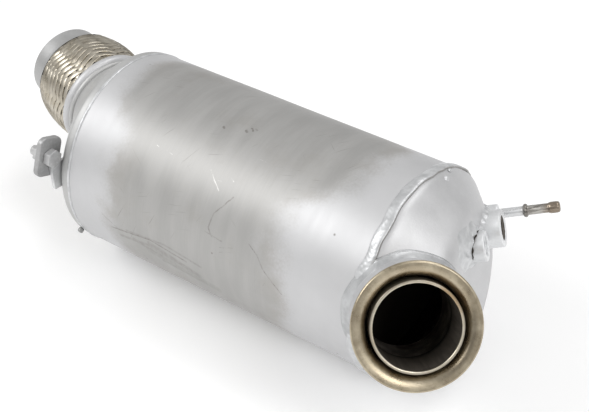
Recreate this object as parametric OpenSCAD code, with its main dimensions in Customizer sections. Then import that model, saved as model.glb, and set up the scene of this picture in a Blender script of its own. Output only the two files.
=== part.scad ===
// Diesel particulate filter: a welded stainless can with a slanted inlet dome at one end
// and an offset outlet cone with a short braided flexible pipe at the other.
// The can's axis is X, with the inlet end at +X, and Z is up.
// The origin is the centre of the inlet flange's mouth. Millimetres.

/* [Canister] */
// Outside diameter of the can
can_d = 155; // [145:1:170]
// Length of the can between its two end seams
can_len = 260; // [250:1:300]
// Wall of the can
shell_t = 1.5; // [1:0.1:2.5]
// Half width of a weld bead's round section
bead_r = 4; // [2.5:0.1:5]
// Depth to which a bead's centre lies under the can's surface
bead_sink = 2; // [1:0.1:3]
// Half width of the rim weld's round section
rim_bead_r = 1.8; // [1.4:0.1:2.4]
// Depth to which the rim weld's centre lies under the can's surface
rim_bead_sink = 1; // [0.6:0.1:1.2]

/* [Bricks] */
// Space for the mat between a brick and the can's wall
mat_gap = 4.1; // [3:0.1:6]
// Length of the oxidation catalyst brick
cat_len = 76; // [60:1:80]
// Space between the two bricks
brick_gap = 12; // [8:1:30]
// Space between a seam and the brick next to it
brick_inset = 10; // [6:1:14]
// How far a mat stops short of its brick's ends
mat_inset = 6; // [3:0.5:12]

/* [Inlet dome] */
// Straight skirt of the dome next to the seam
dome_skirt = 6; // [3:0.5:9]
// Distance from the seam to the centre of the rounded end ring
dome_reach = 19.4; // [16:0.1:26]
// Rounding radius of the dome's end
dome_round = 22; // [18:0.5:25]
// How far the end ring lies inside the can's radius
dome_inset = 39.5; // [34:0.5:42]
// Sideways shift of the dome's end
dome_shift = 6.5; // [0:0.5:9]
// Slant of the dome's end face
dome_slant = 14.4; // [6:0.2:18]
// Turn of the slant about the can's axis
dome_clock = 34; // [20:1:45]
// Wall of the dome
dome_t = 2; // [1.5:0.1:2.5]

/* [Inlet pipe] */
// Lean of the pipe towards the inlet end
inlet_lean = 35; // [32:0.5:40]
// Turn of the pipe above the level, about the can's axis
inlet_clock = 36; // [30:1:42]
// Sideways offset of the pipe's axis from the can's axis
inlet_offset = 22; // [18:0.5:25]
// Distance of the pipe's root inside the seam
inlet_root = 9; // [7:0.5:10]
// Distance along the pipe from its root to the flange's mouth
inlet_reach = 109; // [104:0.5:120]
// Outside diameter of the neck
neck_d = 76; // [74:0.5:77]
// Wall of the neck
neck_t = 2; // [1.6:0.1:2.4]
// Depth of the neck's tail below the flange's mouth
neck_tail = 72; // [68:0.5:74]
// Length of the neck's rounded shoulder behind the flange's cuff
shoulder_len = 10; // [8:0.5:11]
// How far the neck reaches through the dome's wall
neck_through = 3; // [2:0.5:4]
// Inside diameter of the liner tube
liner_d = 56; // [52:0.5:57]
// Wall of the liner tube
liner_t = 2; // [1.5:0.1:2.3]
// Length of the liner tube below the flange's mouth
liner_len = 40; // [32:0.5:44]
// How far the liner's lip stands out of the mouth
lip_proud = 0.9; // [0:0.1:3]
// Depth of the liner's seat ring below the flange's mouth
seat_at = 28; // [27:0.5:30]
// Length of the seat ring that holds the liner in the neck
liner_seat = 8; // [6:0.5:9]

/* [Inlet flange] */
// Outside diameter of the flange
flange_d = 84; // [80:0.5:90]
// Radius of the bell mouth
bell_r = 9; // [7:0.25:10]
// Metal thickness of the flange
flange_t = 3; // [2:0.1:3.4]
// Depth of the flange's cuff behind the bell mouth
cuff_len = 7; // [4:0.5:10]

/* [Sensor bosses] */
// Lean of the bosses away from the can's axis
boss_lean = 30; // [20:0.5:34]
// Outside diameter of the exhaust gas sensor's boss
gas_boss_d = 26.5; // [24:0.5:27]
// Tapping hole of the exhaust gas sensor's boss
gas_hole_d = 16.4; // [14:0.1:17]
// Height of the exhaust gas sensor's boss above the dome's end
gas_boss_h = 12; // [9:0.5:16]
// How far the exhaust gas sensor's boss lies inside the dome's end ring
gas_boss_in = 2; // [0:0.5:4]
// Outside diameter of the temperature sensor's boss
temp_boss_d = 21; // [18:0.5:22]
// Tapping hole of the temperature sensor's boss
temp_hole_d = 12.4; // [10:0.1:12.5]
// Height of the temperature sensor's boss above the dome's end
temp_boss_h = 9; // [7:0.5:14]
// How far the temperature sensor's boss lies inside the dome's end ring
temp_boss_in = 22.7; // [22:0.1:25]
// Place of the temperature sensor's boss across the slant
temp_boss_v = 17.7; // [17:0.5:22]
// Depth of the bosses behind the dome's end
boss_tail = 5; // [4:0.5:7]
// Width of a boss's weld fillet
fillet_w = 3.5; // [2:0.5:4.5]

/* [Pressure pipe] */
// Outside diameter of the pressure pipe
pipe_d = 6.8; // [5:0.1:7.6]
// Bore of the pressure pipe
pipe_bore = 4.4; // [3:0.1:4.5]
// Length of the pressure pipe outside its boss
pipe_len = 43; // [36:0.5:60]
// Outside diameter of the pipe's stop ring
stop_d = 9.6; // [9:0.1:11]
// Distance of the stop ring from the boss
stop_at = 19; // [14:0.5:24]
// Outside diameter of the pipe's swaged end
swage_d = 8.2; // [7.7:0.1:9]
// Length of the pipe's swaged end
swage_len = 8; // [5:0.5:12]
// Outside diameter of the pressure pipe's boss
pipe_boss_d = 14; // [12:0.5:16]
// How far the pressure pipe's boss lies outside the dome's end ring
pipe_boss_out = 19.2; // [17:0.1:20]
// Place of the pressure pipe's boss across the slant
pipe_boss_v = -19.6; // [-24:0.2:-18]
// Depth of the pressure pipe's boss behind the dome's end
pipe_boss_back = 19; // [17:0.5:21]

/* [Outlet cone] */
// Straight skirt of the outlet cone next to the rim
cone_skirt = 5; // [4.4:0.1:8]
// Rounding of the outlet cone's edge
cone_round = 5; // [3:0.5:8]
// Distance from the rim to the start of the braid
outlet_reach = 58.5; // [54:0.5:70]
// Offset of the outlet from the can's axis
outlet_offset = 28.5; // [15:0.5:32]
// Tilt of the outlet away from the can's axis
outlet_tilt = 16; // [0:0.5:20]
// Turn of the offset and the tilt about the can's axis
outlet_clock = 25; // [0:1:40]
// Wall of the outlet cone
cone_t = 2; // [1.5:0.1:2.5]
// Length of the cone's round neck
cone_neck = 4; // [3:0.5:6]

/* [Flexible pipe] */
// Inside diameter of the bellows' plain cuffs
cuff_d = 68; // [66:0.5:70]
// Wall of the bellows
bellows_t = 0.6; // [0.4:0.1:0.8]
// Height of the bellows' folds
fold_h = 4.4; // [3:0.1:5]
// Number of the bellows' folds
folds = 6; // [4:1:7]
// Length of the bellows' folded part
fold_len = 32; // [24:1:33]
// Length of the braid
braid_len = 40; // [38.5:0.5:60]
// Gap between the bellows' folds and the braid's collar end
braid_gap = 0.5; // [0.4:0.1:1.5]
// Bulge of the braid beyond its collar end
braid_bulge = 1.2; // [0.9:0.1:4]
// Gap between the braid and the end cap
cap_gap = 0.3; // [0.2:0.05:0.5]
// Thickness of the braid
braid_t = 1.5; // [1.2:0.1:1.6]
// Height of the braid's raised crossings
weave_h = 0.6; // [0.2:0.1:0.8]
// Crossings of the braid around the pipe
weave_n = 16; // [12:2:20]
// Rows of crossings along the pipe
weave_rows = 8; // [6:1:12]
// Radius of the collar's round bead
collar_r = 4.2; // [3.5:0.1:5]
// How far the collar stands out over the braid's collar end
collar_proud = 1.4; // [0.8:0.1:2.5]
// Wall of the end cap
cap_t = 1.5; // [1:0.1:1.8]
// Length of the end cap's taper
cap_taper = 4; // [3.5:0.5:10]
// Outside diameter of the outlet pipe
outlet_d = 64; // [60:0.5:64]
// Wall of the outlet pipe
outlet_t = 1.5; // [1:0.1:2.5]
// Length of the outlet pipe outside the cap
outlet_len = 12; // [8:0.5:30]
// Length of the outlet pipe's tail in the cap
outlet_tail = 3; // [2:0.5:6]
// Step between the outlet pipe and its tail in the cap
outlet_step = 0.5; // [0.3:0.1:0.8]
// Wall of the flow liner inside the flexible pipe
flow_t = 1; // [0.6:0.1:1.5]
// Gap between the flow liner and the cuffs
flow_gap = 2.5; // [1.5:0.1:3]

/* [Bracket] */
// Turn of the bracket above the level, about the can's axis
bracket_clock = 19.5; // [12:0.5:30]
// Distance of the bracket's bolt from the can's surface
bolt_out = 7.5; // [6:0.5:12]
// Distance of the bracket plate's face behind the can's rim
bracket_back = 13.6; // [13:0.2:16]
// Thickness of the bracket's lug
lug_t = 3; // [2:0.1:4]
// Drop of the lug's tip below the bolt
lug_drop = 26.5; // [22:0.5:30]
// How far the lug's tip lies inside the bolt's circle
lug_tip_in = 8.5; // [6:0.5:10]
// Depth of the lug's foot below the can's surface
lug_foot = 17.5; // [14:0.5:22]
// Room between the lug and the bolt's head
head_room = 0.5; // [0.3:0.1:1]
// Width of the bracket plate
plate_w = 22; // [18:0.5:24]
// Height of the bracket plate
plate_h = 31; // [24:0.5:40]
// Thickness of the bracket plate
plate_t = 4.5; // [3:0.1:6]
// Corner radius of the bracket plate
plate_r = 6; // [2:0.5:8]
// Bolt diameter
bolt_d = 8; // [6:0.5:10]
// Bolt hole diameter
bolt_hole_d = 9; // [8.4:0.1:11]
// Width across the flats of the bolt's head and nut
flats = 13; // [12:0.5:15]
// Height of the bolt's head
head_h = 5.8; // [4:0.1:7]
// Height of the nut
nut_h = 6.5; // [5:0.1:8]
// Length of the bolt's end outside the nut
bolt_end = 6; // [2:0.5:8]
// Diameter of the locating pin
pin_d = 4.5; // [3:0.5:6]
// Height of the locating pin
pin_h = 4; // [3:0.5:8]
// Turn of the locating pin below the level
pin_clock = 33; // [24:1:60]

/* [Fits] */
// Clearance between pieces that slide into one another
fit = 0.1; // [0.05:0.01:0.2]

/* [Hidden] */
can_r = can_d / 2;
seam_x = can_len / 2;
rim_x = -can_len / 2;
bore_r = can_r - shell_t;
brick_r = bore_r - mat_gap;
filter_len = can_len - 2 * brick_inset - cat_len - brick_gap;
flange_r = flange_d / 2;
neck_r = neck_d / 2;
liner_r = liner_d / 2;
bell_c = flange_r - flange_t / 2;
cuff_r = cuff_d / 2;
ring_r = can_r - dome_inset;
gas_boss_w = ring_r - gas_boss_in;
temp_boss_w = ring_r - temp_boss_in;
pipe_boss_w = ring_r + pipe_boss_out;
outlet_r = outlet_d / 2;
cap_r = cuff_r + bellows_t + fit + cap_t;
braid_r0 = cuff_r + bellows_t + fold_h + braid_gap + braid_t;
braid_r1 = braid_r0 + braid_bulge;
braid_r2 = cap_r + cap_gap + braid_t;
tail_r = outlet_r - outlet_step;
cone_neck_r = cuff_r + bellows_t + cone_t;
collar_len = 2 * collar_r;
collar_in = cuff_r + bellows_t + fit;
rim_bead_half = sqrt(rim_bead_r * rim_bead_r - rim_bead_sink * rim_bead_sink);
neck_in = neck_r - neck_t;
neck_top = bell_r + cuff_len;
cuff_out = bell_c - bell_r + flange_t;
plate_x = rim_x - bracket_back;
bolt_y = can_r + bolt_out;
head_r = flats / 2 / cos(30);
collar_c = braid_r0 + collar_proud - collar_r;
pin_x = rim_x - rim_bead_half - fit - pin_d / 2;
// place of the flange's mouth in the can's own frame
mouth_x = seam_x - inlet_root + inlet_reach * sin(inlet_lean);
mouth_out = inlet_reach * cos(inlet_lean);
mouth_y = -mouth_out * cos(inlet_clock) - inlet_offset * sin(inlet_clock);
mouth_z = mouth_out * sin(inlet_clock) - inlet_offset * cos(inlet_clock);
fine = 96;

// Placement

// the can's own frame, seen from the flange's mouth
module placed() {
  translate([-mouth_x, -mouth_y, -mouth_z])
    children();
}

// turns a shape built along Z to lie along X
module along_x() {
  rotate([0, 90, 0])
    children();
}

// Z runs out along the inlet pipe from its root
module at_inlet() {
  translate([seam_x - inlet_root, 0, 0])
    rotate([-inlet_clock, 0, 0])
      translate([0, 0, -inlet_offset])
        rotate([0, 0, inlet_lean])
          rotate([90, 0, 0])
            children();
}

// X runs along the can, Y in the direction of the dome's slant
module at_dome() {
  translate([seam_x, 0, 0])
    rotate([dome_clock, 0, 0])
      children();
}

// X is square to the dome's slanted end, from the centre of its end ring
module at_end() {
  at_dome()
    translate([dome_reach, dome_shift, 0])
      rotate([0, 0, dome_slant])
        children();
}

// Z runs out along a boss whose axis crosses the dome's end plane at w and v
module at_boss(w, v) {
  at_end()
    translate([dome_round, w, v])
      rotate([0, 0, boss_lean - dome_slant])
        along_x()
          children();
}

// Z runs out along the flexible pipe from the start of the braid
module at_outlet() {
  translate([rim_x, 0, 0])
    rotate([outlet_clock, 0, 0])
      translate([-outlet_reach, outlet_offset, 0])
        rotate([0, 0, -outlet_tilt])
          rotate([0, -90, 0])
            children();
}

// X along the can, Y out through the bracket's bolt
module at_bracket() {
  rotate([180 - bracket_clock, 0, 0])
    children();
}

// Shapes that several pieces share

// the dome's outside, or its inside when it is set in by the wall
module dome_form(inset) {
  hull() {
    translate([seam_x - (inset > 0 ? fit : 0), 0, 0])
      along_x()
        cylinder(r = can_r - inset, h = dome_skirt, $fn = 72);
    at_end()
      along_x()
        rotate_extrude($fn = 60)
          translate([ring_r, 0])
            circle(r = dome_round - inset, $fn = 28);
  }
}

// the outlet cone's outside, or its inside when it is set in by the wall
module cone_form(inset) {
  hull() {
    translate([rim_x - cone_skirt, 0, 0])
      along_x()
        cylinder(r = can_r - inset, h = cone_skirt + (inset > 0 ? fit : 0), $fn = 72);
    translate([rim_x - cone_skirt, 0, 0])
      along_x()
        rotate_extrude($fn = 60)
          translate([can_r - cone_round, 0])
            circle(r = cone_round - inset, $fn = 20);
    at_outlet()
      translate([0, 0, -collar_len - cone_neck])
        cylinder(r = cone_neck_r - inset, h = cone_neck + (inset > 0 ? fit : 0), $fn = 60);
  }
}

// a weld bead round the can, lying on its surface
module bead() {
  along_x()
    rotate_extrude($fn = fine)
      difference() {
        translate([can_r - bead_sink, 0])
          circle(r = bead_r, $fn = 48);
        translate([can_r - 2 * bead_r - bead_sink, -bead_r - 1])
          square([2 * bead_r + bead_sink + fit / 2, 2 * bead_r + 2]);
      }
}

module brick(x0, length) {
  translate([x0, 0, 0])
    along_x()
      cylinder(r = brick_r, h = length, $fn = fine);
}

module mat(x0, length) {
  translate([x0 + mat_inset, 0, 0])
    along_x()
      difference() {
        cylinder(r = bore_r - fit / 2, h = length - 2 * mat_inset, $fn = fine);
        translate([0, 0, -1])
          cylinder(r = brick_r + fit / 2, h = length, $fn = fine);
      }
}

// Canister and bricks

module canister_shell() {
  color("silver")
    translate([rim_x, 0, 0])
      along_x()
        difference() {
          cylinder(r = can_r, h = can_len, $fn = fine);
          translate([0, 0, -1])
            cylinder(r = bore_r, h = can_len + 2, $fn = fine);
        }
}

module inlet_seam_weld() {
  color("darkgray")
    difference() {
      translate([seam_x, 0, 0])
        bead();
      at_inlet()
        cylinder(r = neck_r + fit, h = inlet_reach, $fn = fine);
    }
}

module outlet_seam_weld() {
  color("darkgray")
    translate([rim_x, 0, 0])
      along_x()
        rotate_extrude($fn = fine)
          difference() {
            translate([can_r - rim_bead_sink, 0])
              circle(r = rim_bead_r, $fn = 32);
            translate([can_r - 2 * rim_bead_r - rim_bead_sink, -rim_bead_r - 1])
              square([2 * rim_bead_r + rim_bead_sink + fit / 2, 2 * rim_bead_r + 2]);
          }
}

module catalyst_brick() {
  color("tan")
    brick(seam_x - brick_inset - cat_len, cat_len);
}

module catalyst_mat() {
  color("whitesmoke")
    mat(seam_x - brick_inset - cat_len, cat_len);
}

module filter_brick() {
  color("dimgray")
    brick(rim_x + brick_inset, filter_len);
}

module filter_mat() {
  color("whitesmoke")
    mat(rim_x + brick_inset, filter_len);
}

// Inlet end

module inlet_dome() {
  color("lightgray")
    difference() {
      dome_form(0);
      dome_form(dome_t);
      // the dome ends at the seam
      translate([seam_x - can_d, 0, 0])
        along_x()
          cylinder(r = can_d, h = can_d, $fn = 24);
      at_inlet()
        translate([0, 0, inlet_reach - neck_tail - 4])
          cylinder(r = neck_r + fit, h = neck_tail + 4, $fn = fine);
      at_boss(gas_boss_w, 0)
        translate([0, 0, -boss_tail - 6])
          cylinder(r = gas_boss_d / 2 + fit, h = gas_boss_h + boss_tail + 6, $fn = 64);
      at_boss(temp_boss_w, temp_boss_v)
        translate([0, 0, -boss_tail - 6])
          cylinder(r = temp_boss_d / 2 + fit, h = temp_boss_h + boss_tail + 6, $fn = 64);
      at_boss(pipe_boss_w, pipe_boss_v)
        translate([0, 0, -pipe_boss_back - 2])
          cylinder(r = pipe_boss_d / 2 + fit, h = pipe_boss_back + 6, $fn = 48);
    }
}

// a round pipe with a rounded shoulder, trimmed to the dome's inside and to the can's surface
module inlet_neck() {
  turn_in = neck_r - cuff_out;
  bend = [for (i = [0 : 12]) [1 - cos(7.5 * i), sin(7.5 * i)]];
  outside = [for (b = bend) [neck_r - turn_in * b[0], -neck_top - shoulder_len * (1 - b[1])]];
  inside = [for (i = [12 : -1 : 0])
    [neck_in - turn_in * bend[i][0], -neck_top - shoulder_len + (shoulder_len - neck_t) * bend[i][1]]];
  color("lightgray")
    difference() {
      at_inlet()
        translate([0, 0, inlet_reach])
          rotate_extrude($fn = fine)
            polygon(concat(
              [[neck_in, -neck_tail], [neck_r, -neck_tail]],
              outside,
              [[cuff_out - neck_t, -neck_top]],
              inside
            ));
      dome_form(dome_t + neck_through);
      translate([seam_x - 60, 0, 0])
        along_x()
          cylinder(r = can_r + fit, h = 60 + fit, $fn = fine);
    }
}

// a bell mouth on a short cuff, with a rounded rim
module inlet_flange() {
  color("rosybrown")
    at_inlet()
      translate([0, 0, inlet_reach])
        rotate_extrude($fn = fine)
          union() {
            intersection() {
              translate([bell_c, -bell_r])
                difference() {
                  circle(r = bell_r, $fn = 72);
                  circle(r = bell_r - flange_t, $fn = 72);
                }
              translate([bell_c - bell_r - 1, -bell_r])
                square([bell_r + 1, bell_r + 1]);
            }
            translate([bell_c - bell_r, -bell_r - cuff_len])
              square([flange_t, cuff_len]);
            translate([bell_c, -flange_t / 2])
              circle(r = flange_t / 2, $fn = 36);
          }
}

module inlet_liner() {
  color("tan")
    at_inlet()
      translate([0, 0, inlet_reach])
        rotate_extrude($fn = fine)
          polygon([
            [liner_r, -liner_len],
            [liner_r + liner_t, -liner_len],
            [liner_r + liner_t, -seat_at - liner_seat],
            [neck_in - fit, -seat_at - liner_seat],
            [neck_in - fit, -seat_at - 3],
            [liner_r + liner_t, -seat_at],
            [liner_r + liner_t, lip_proud - 0.5],
            [liner_r + liner_t - 0.5, lip_proud],
            [liner_r + 0.5, lip_proud],
            [liner_r, lip_proud - 0.5]
          ]);
}

// Bosses and pressure pipe

module tapped_boss(d, hole_d, height) {
  translate([0, 0, -boss_tail])
    difference() {
      cylinder(r = d / 2, h = height + boss_tail, $fn = 64);
      translate([0, 0, -1])
        cylinder(r = hole_d / 2, h = height + boss_tail + 2, $fn = 64);
      translate([0, 0, height + boss_tail - 1])
        cylinder(r1 = hole_d / 2, r2 = hole_d / 2 + 1.2, h = 1.2, $fn = 64);
    }
}

module gas_sensor_boss() {
  color("lightgray")
    at_boss(gas_boss_w, 0)
      tapped_boss(gas_boss_d, gas_hole_d, gas_boss_h);
}

module temperature_sensor_boss() {
  color("lightgray")
    at_boss(temp_boss_w, temp_boss_v)
      tapped_boss(temp_boss_d, temp_hole_d, temp_boss_h);
}

module pressure_pipe_boss() {
  color("lightgray")
    at_boss(pipe_boss_w, pipe_boss_v)
      translate([0, 0, -pipe_boss_back])
        difference() {
          cylinder(r = pipe_boss_d / 2, h = pipe_boss_back, $fn = 48);
          translate([0, 0, -1])
            cylinder(r = pipe_d / 2 + fit, h = pipe_boss_back + 2, $fn = 48);
        }
}

module pressure_pipe() {
  color("silver")
    at_boss(pipe_boss_w, pipe_boss_v)
      difference() {
        union() {
          translate([0, 0, -pipe_boss_back])
            cylinder(r = pipe_d / 2, h = pipe_boss_back + pipe_len - 1, $fn = 48);
          translate([0, 0, stop_at])
            rotate_extrude($fn = 48)
              translate([stop_d / 2 - 1.2, 0])
                circle(r = 1.2, $fn = 24);
          translate([0, 0, stop_at - 1])
            cylinder(r = stop_d / 2 - 1.2, h = 2, $fn = 48);
          translate([0, 0, pipe_len - swage_len])
            cylinder(r1 = pipe_d / 2, r2 = swage_d / 2, h = 2, $fn = 48);
          translate([0, 0, pipe_len - swage_len + 2])
            cylinder(r = swage_d / 2, h = swage_len - 3, $fn = 48);
          translate([0, 0, pipe_len - 1])
            cylinder(r1 = swage_d / 2, r2 = swage_d / 2 - 0.6, h = 1, $fn = 48);
        }
        translate([0, 0, -pipe_boss_back - 1])
          cylinder(r = pipe_bore / 2, h = pipe_boss_back + pipe_len + 2, $fn = 48);
      }
}

// a tapering ring of weld metal round a boss, trimmed by the dome below it
module fillet_ring(d, low, high) {
  translate([0, 0, low])
    difference() {
      cylinder(r1 = d / 2 + fillet_w + (high - low) * 0.2, r2 = d / 2 + 0.6, h = high - low, $fn = 40);
      translate([0, 0, -1])
        cylinder(r = d / 2 + fit, h = high - low + 2, $fn = 64);
    }
}

module boss_welds() {
  color("darkgray")
    difference() {
      union() {
        at_boss(gas_boss_w, 0)
          fillet_ring(gas_boss_d, -4, 4.5);
        at_boss(temp_boss_w, temp_boss_v)
          fillet_ring(temp_boss_d, -4, 3.5);
        at_boss(pipe_boss_w, pipe_boss_v)
          fillet_ring(pipe_boss_d, -12, -3);
      }
      dome_form(-fit / 2);
      at_boss(gas_boss_w, 0)
        translate([0, 0, -boss_tail])
          cylinder(r = gas_boss_d / 2 + fit, h = gas_boss_h + boss_tail, $fn = 64);
      at_boss(temp_boss_w, temp_boss_v)
        translate([0, 0, -boss_tail])
          cylinder(r = temp_boss_d / 2 + fit, h = temp_boss_h + boss_tail, $fn = 64);
    }
}

// Outlet end

module outlet_cone() {
  color("lightgray")
    difference() {
      cone_form(0);
      cone_form(cone_t);
    }
}

module flex_collar() {
  color("gainsboro")
    at_outlet()
      rotate_extrude($fn = fine)
        difference() {
          union() {
            translate([collar_in, -collar_len])
              square([collar_c - collar_in, collar_len]);
            translate([collar_c, -collar_r])
              circle(r = collar_r, $fn = 48);
          }
          translate([0, -collar_len - 1])
            square([collar_in, collar_len + 2]);
        }
}

// half the height of a fold at the share t of the folded length
function fold(t) = fold_h / 2 * (1 - cos(360 * folds * t));

module flex_bellows() {
  color("silver")
    at_outlet()
      rotate_extrude($fn = fine)
        polygon(concat(
          [[cuff_r, -collar_len]],
          [for (i = [0 : 8 * folds]) [cuff_r + fold(i / (8 * folds)), fold_len * i / (8 * folds)]],
          [[cuff_r, braid_len], [cuff_r + bellows_t, braid_len]],
          [for (i = [8 * folds : -1 : 0])
            [cuff_r + bellows_t + fold(i / (8 * folds)), fold_len * i / (8 * folds)]],
          [[cuff_r + bellows_t, -collar_len]]
        ));
}

module flex_liner() {
  color("silver")
    at_outlet()
      rotate_extrude($fn = fine)
        polygon([
          [cuff_r - fit, -collar_len + 1],
          [cuff_r - fit, -collar_len + 3],
          [cuff_r - flow_gap, 3],
          [cuff_r - flow_gap, braid_len - 6],
          [cuff_r - flow_gap - flow_t, braid_len - 6],
          [cuff_r - flow_gap - flow_t, 2.6],
          [cuff_r - fit - flow_t, -collar_len + 2.6],
          [cuff_r - fit - flow_t, -collar_len + 1]
        ]);
}

// radius of the braid's middle surface at the share t of its length
function braid_r(t) = braid_r0 * (1 - t) + braid_r2 * t
  + 4 * (braid_r1 - (braid_r0 + braid_r2) / 2) * t * (1 - t);
// rise of the weave: raised crossings stand in rows, each row half a step on
function weave(t, a) = weave_h * cos(weave_n * a) * cos(180 * weave_rows * t);

// one woven sleeve, made as a skin of raised crossings over a smooth inside
module flex_braid() {
  nu = 8 * weave_n;
  nv = 24;
  outside = [for (j = [0 : nv]) for (i = [0 : nu - 1])
    let (t = j / nv, a = 360 * i / nu, r = braid_r(t) + weave(t, a))
      [r * cos(a), r * sin(a), fit + t * (braid_len - 2 * fit)]];
  inside = [for (j = [0 : nv / 4]) for (i = [0 : nu / 4 - 1])
    let (t = 4 * j / nv, a = 360 * 4 * i / nu, r = braid_r(t) - braid_t)
      [r * cos(a), r * sin(a), fit + t * (braid_len - 2 * fit)]];
  mi = nu / 4;
  mv = nv / 4;
  k0 = nu * (nv + 1);
  out_faces = [for (j = [0 : nv - 1]) for (i = [0 : nu - 1])
    let (n = (i + 1) % nu)
      each [
        [j * nu + i, (j + 1) * nu + i, j * nu + n],
        [j * nu + n, (j + 1) * nu + i, (j + 1) * nu + n]
      ]];
  in_faces = [for (j = [0 : mv - 1]) for (i = [0 : mi - 1])
    let (n = (i + 1) % mi)
      each [
        [k0 + j * mi + i, k0 + j * mi + n, k0 + (j + 1) * mi + i],
        [k0 + j * mi + n, k0 + (j + 1) * mi + n, k0 + (j + 1) * mi + i]
      ]];
  // each end ring joins four outside points to two inside ones
  near_end = [for (i = [0 : mi - 1])
    let (n = (i + 1) % mi, b = 4 * i)
      each [
        [b, b + 1, k0 + i],
        [b + 1, b + 2, k0 + i],
        [b + 2, b + 3, k0 + n],
        [b + 3, (b + 4) % nu, k0 + n],
        [b + 2, k0 + n, k0 + i]
      ]];
  ko = nv * nu;
  ki = k0 + mv * mi;
  far_end = [for (i = [0 : mi - 1])
    let (n = (i + 1) % mi, b = 4 * i)
      each [
        [ko + b, ki + i, ko + b + 1],
        [ko + b + 1, ki + i, ko + b + 2],
        [ko + b + 2, ki + n, ko + b + 3],
        [ko + b + 3, ki + n, ko + (b + 4) % nu],
        [ko + b + 2, ki + i, ki + n]
      ]];
  color("antiquewhite")
    at_outlet()
      polyhedron(points = concat(outside, inside), faces = concat(out_faces, in_faces, near_end, far_end));
}

module flex_end_cap() {
  color("gainsboro")
    at_outlet()
      rotate_extrude($fn = fine)
        polygon([
          [cap_r, braid_len - 5],
          [cap_r, braid_len + 2],
          [cap_r - 1.2, braid_len + 4.5],
          [tail_r + cap_t + fit, braid_len + 2 + cap_taper],
          [tail_r + cap_t + fit, braid_len + 2 + cap_taper + outlet_tail],
          [tail_r + fit, braid_len + 2 + cap_taper + outlet_tail],
          [tail_r + fit, braid_len + 1.5 + cap_taper],
          [cap_r - 1.2 - cap_t, braid_len + 4],
          [cap_r - cap_t, braid_len + 1.6],
          [cap_r - cap_t, braid_len - 5]
        ]);
}

module outlet_pipe() {
  color("silver")
    at_outlet()
      translate([0, 0, braid_len + 2 + cap_taper])
        difference() {
          union() {
            cylinder(r = tail_r, h = outlet_tail + 1, $fn = fine);
            translate([0, 0, outlet_tail])
              cylinder(r = outlet_r, h = outlet_len, $fn = fine);
          }
          translate([0, 0, -1])
            cylinder(r = outlet_r - outlet_t, h = outlet_tail + outlet_len + 2, $fn = fine);
        }
}

// Bracket

// a pointed gusset that stands on the outlet cone, next to the bolt's head
module bracket_lug() {
  color("lightgray")
    difference() {
      at_bracket()
        translate([plate_x, 0, 0])
          rotate([90, 0, 90])
            linear_extrude(height = lug_t)
              polygon([
                [bolt_y - head_room, head_r + head_room],
                [bolt_y - lug_tip_in, lug_drop],
                [can_r - lug_foot, lug_drop - 4.5],
                [can_r - lug_foot, 0],
                [bolt_y - head_r - 2 * head_room, 3.5]
              ]);
      cone_form(-fit / 2);
    }
}

module bracket_plate() {
  color("lightgray")
    at_bracket()
      translate([plate_x - plate_t, 0, 0])
        rotate([90, 0, 90])
          linear_extrude(height = plate_t)
            translate([bolt_y, 0])
              difference() {
                union() {
                  square([plate_w - 2 * plate_r, plate_h], center = true);
                  square([plate_w, plate_h - 2 * plate_r], center = true);
                  for (sx = [-1, 1])
                    for (sy = [-1, 1])
                      translate([sx * (plate_w / 2 - plate_r), sy * (plate_h / 2 - plate_r)])
                        circle(r = plate_r, $fn = 40);
                }
                circle(r = bolt_hole_d / 2, $fn = 48);
              }
}

module hexagon(h) {
  cylinder(r = head_r, h = h, $fn = 6);
}

module bracket_bolt() {
  color("gray")
    at_bracket()
      translate([plate_x, bolt_y, 0])
        along_x()
          union() {
            hexagon(head_h);
            translate([0, 0, -plate_t - nut_h - bolt_end])
              cylinder(r = bolt_d / 2, h = plate_t + nut_h + bolt_end + 1, $fn = 40);
          }
}

module bracket_nut() {
  color("gray")
    at_bracket()
      translate([plate_x - plate_t - nut_h, bolt_y, 0])
        along_x()
          difference() {
            hexagon(nut_h);
            translate([0, 0, -1])
              cylinder(r = bolt_d / 2 + fit, h = nut_h + 2, $fn = 40);
          }
}

module locating_pin() {
  color("gray")
    rotate([180 + pin_clock, 0, 0])
      translate([pin_x, 0, 0])
        rotate([-90, 0, 0])
          difference() {
            cylinder(r = pin_d / 2, h = can_r + pin_h, $fn = 32);
            translate([0, 0, -1])
              cylinder(r = pin_d, h = can_r + fit + 1, $fn = 32);
          }
}

placed() canister_shell();
placed() inlet_dome();
placed() inlet_seam_weld();
placed() inlet_neck();
placed() inlet_flange();
placed() inlet_liner();
placed() gas_sensor_boss();
placed() temperature_sensor_boss();
placed() pressure_pipe_boss();
placed() pressure_pipe();
placed() boss_welds();
placed() catalyst_brick();
placed() catalyst_mat();
placed() filter_brick();
placed() filter_mat();
placed() outlet_cone();
placed() outlet_seam_weld();
placed() flex_collar();
placed() flex_bellows();
placed() flex_liner();
placed() flex_braid();
placed() flex_end_cap();
placed() outlet_pipe();
placed() bracket_lug();
placed() bracket_plate();
placed() bracket_bolt();
placed() bracket_nut();
placed() locating_pin();
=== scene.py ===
"""Looks of a diesel particulate filter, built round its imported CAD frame.

Each new piece is a surface of two parameters, worked out with whole numpy arrays in millimetres
in a local frame of the part, and turned to metres in the row's frame when its mesh is made.
"""

import functools
import math

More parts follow.
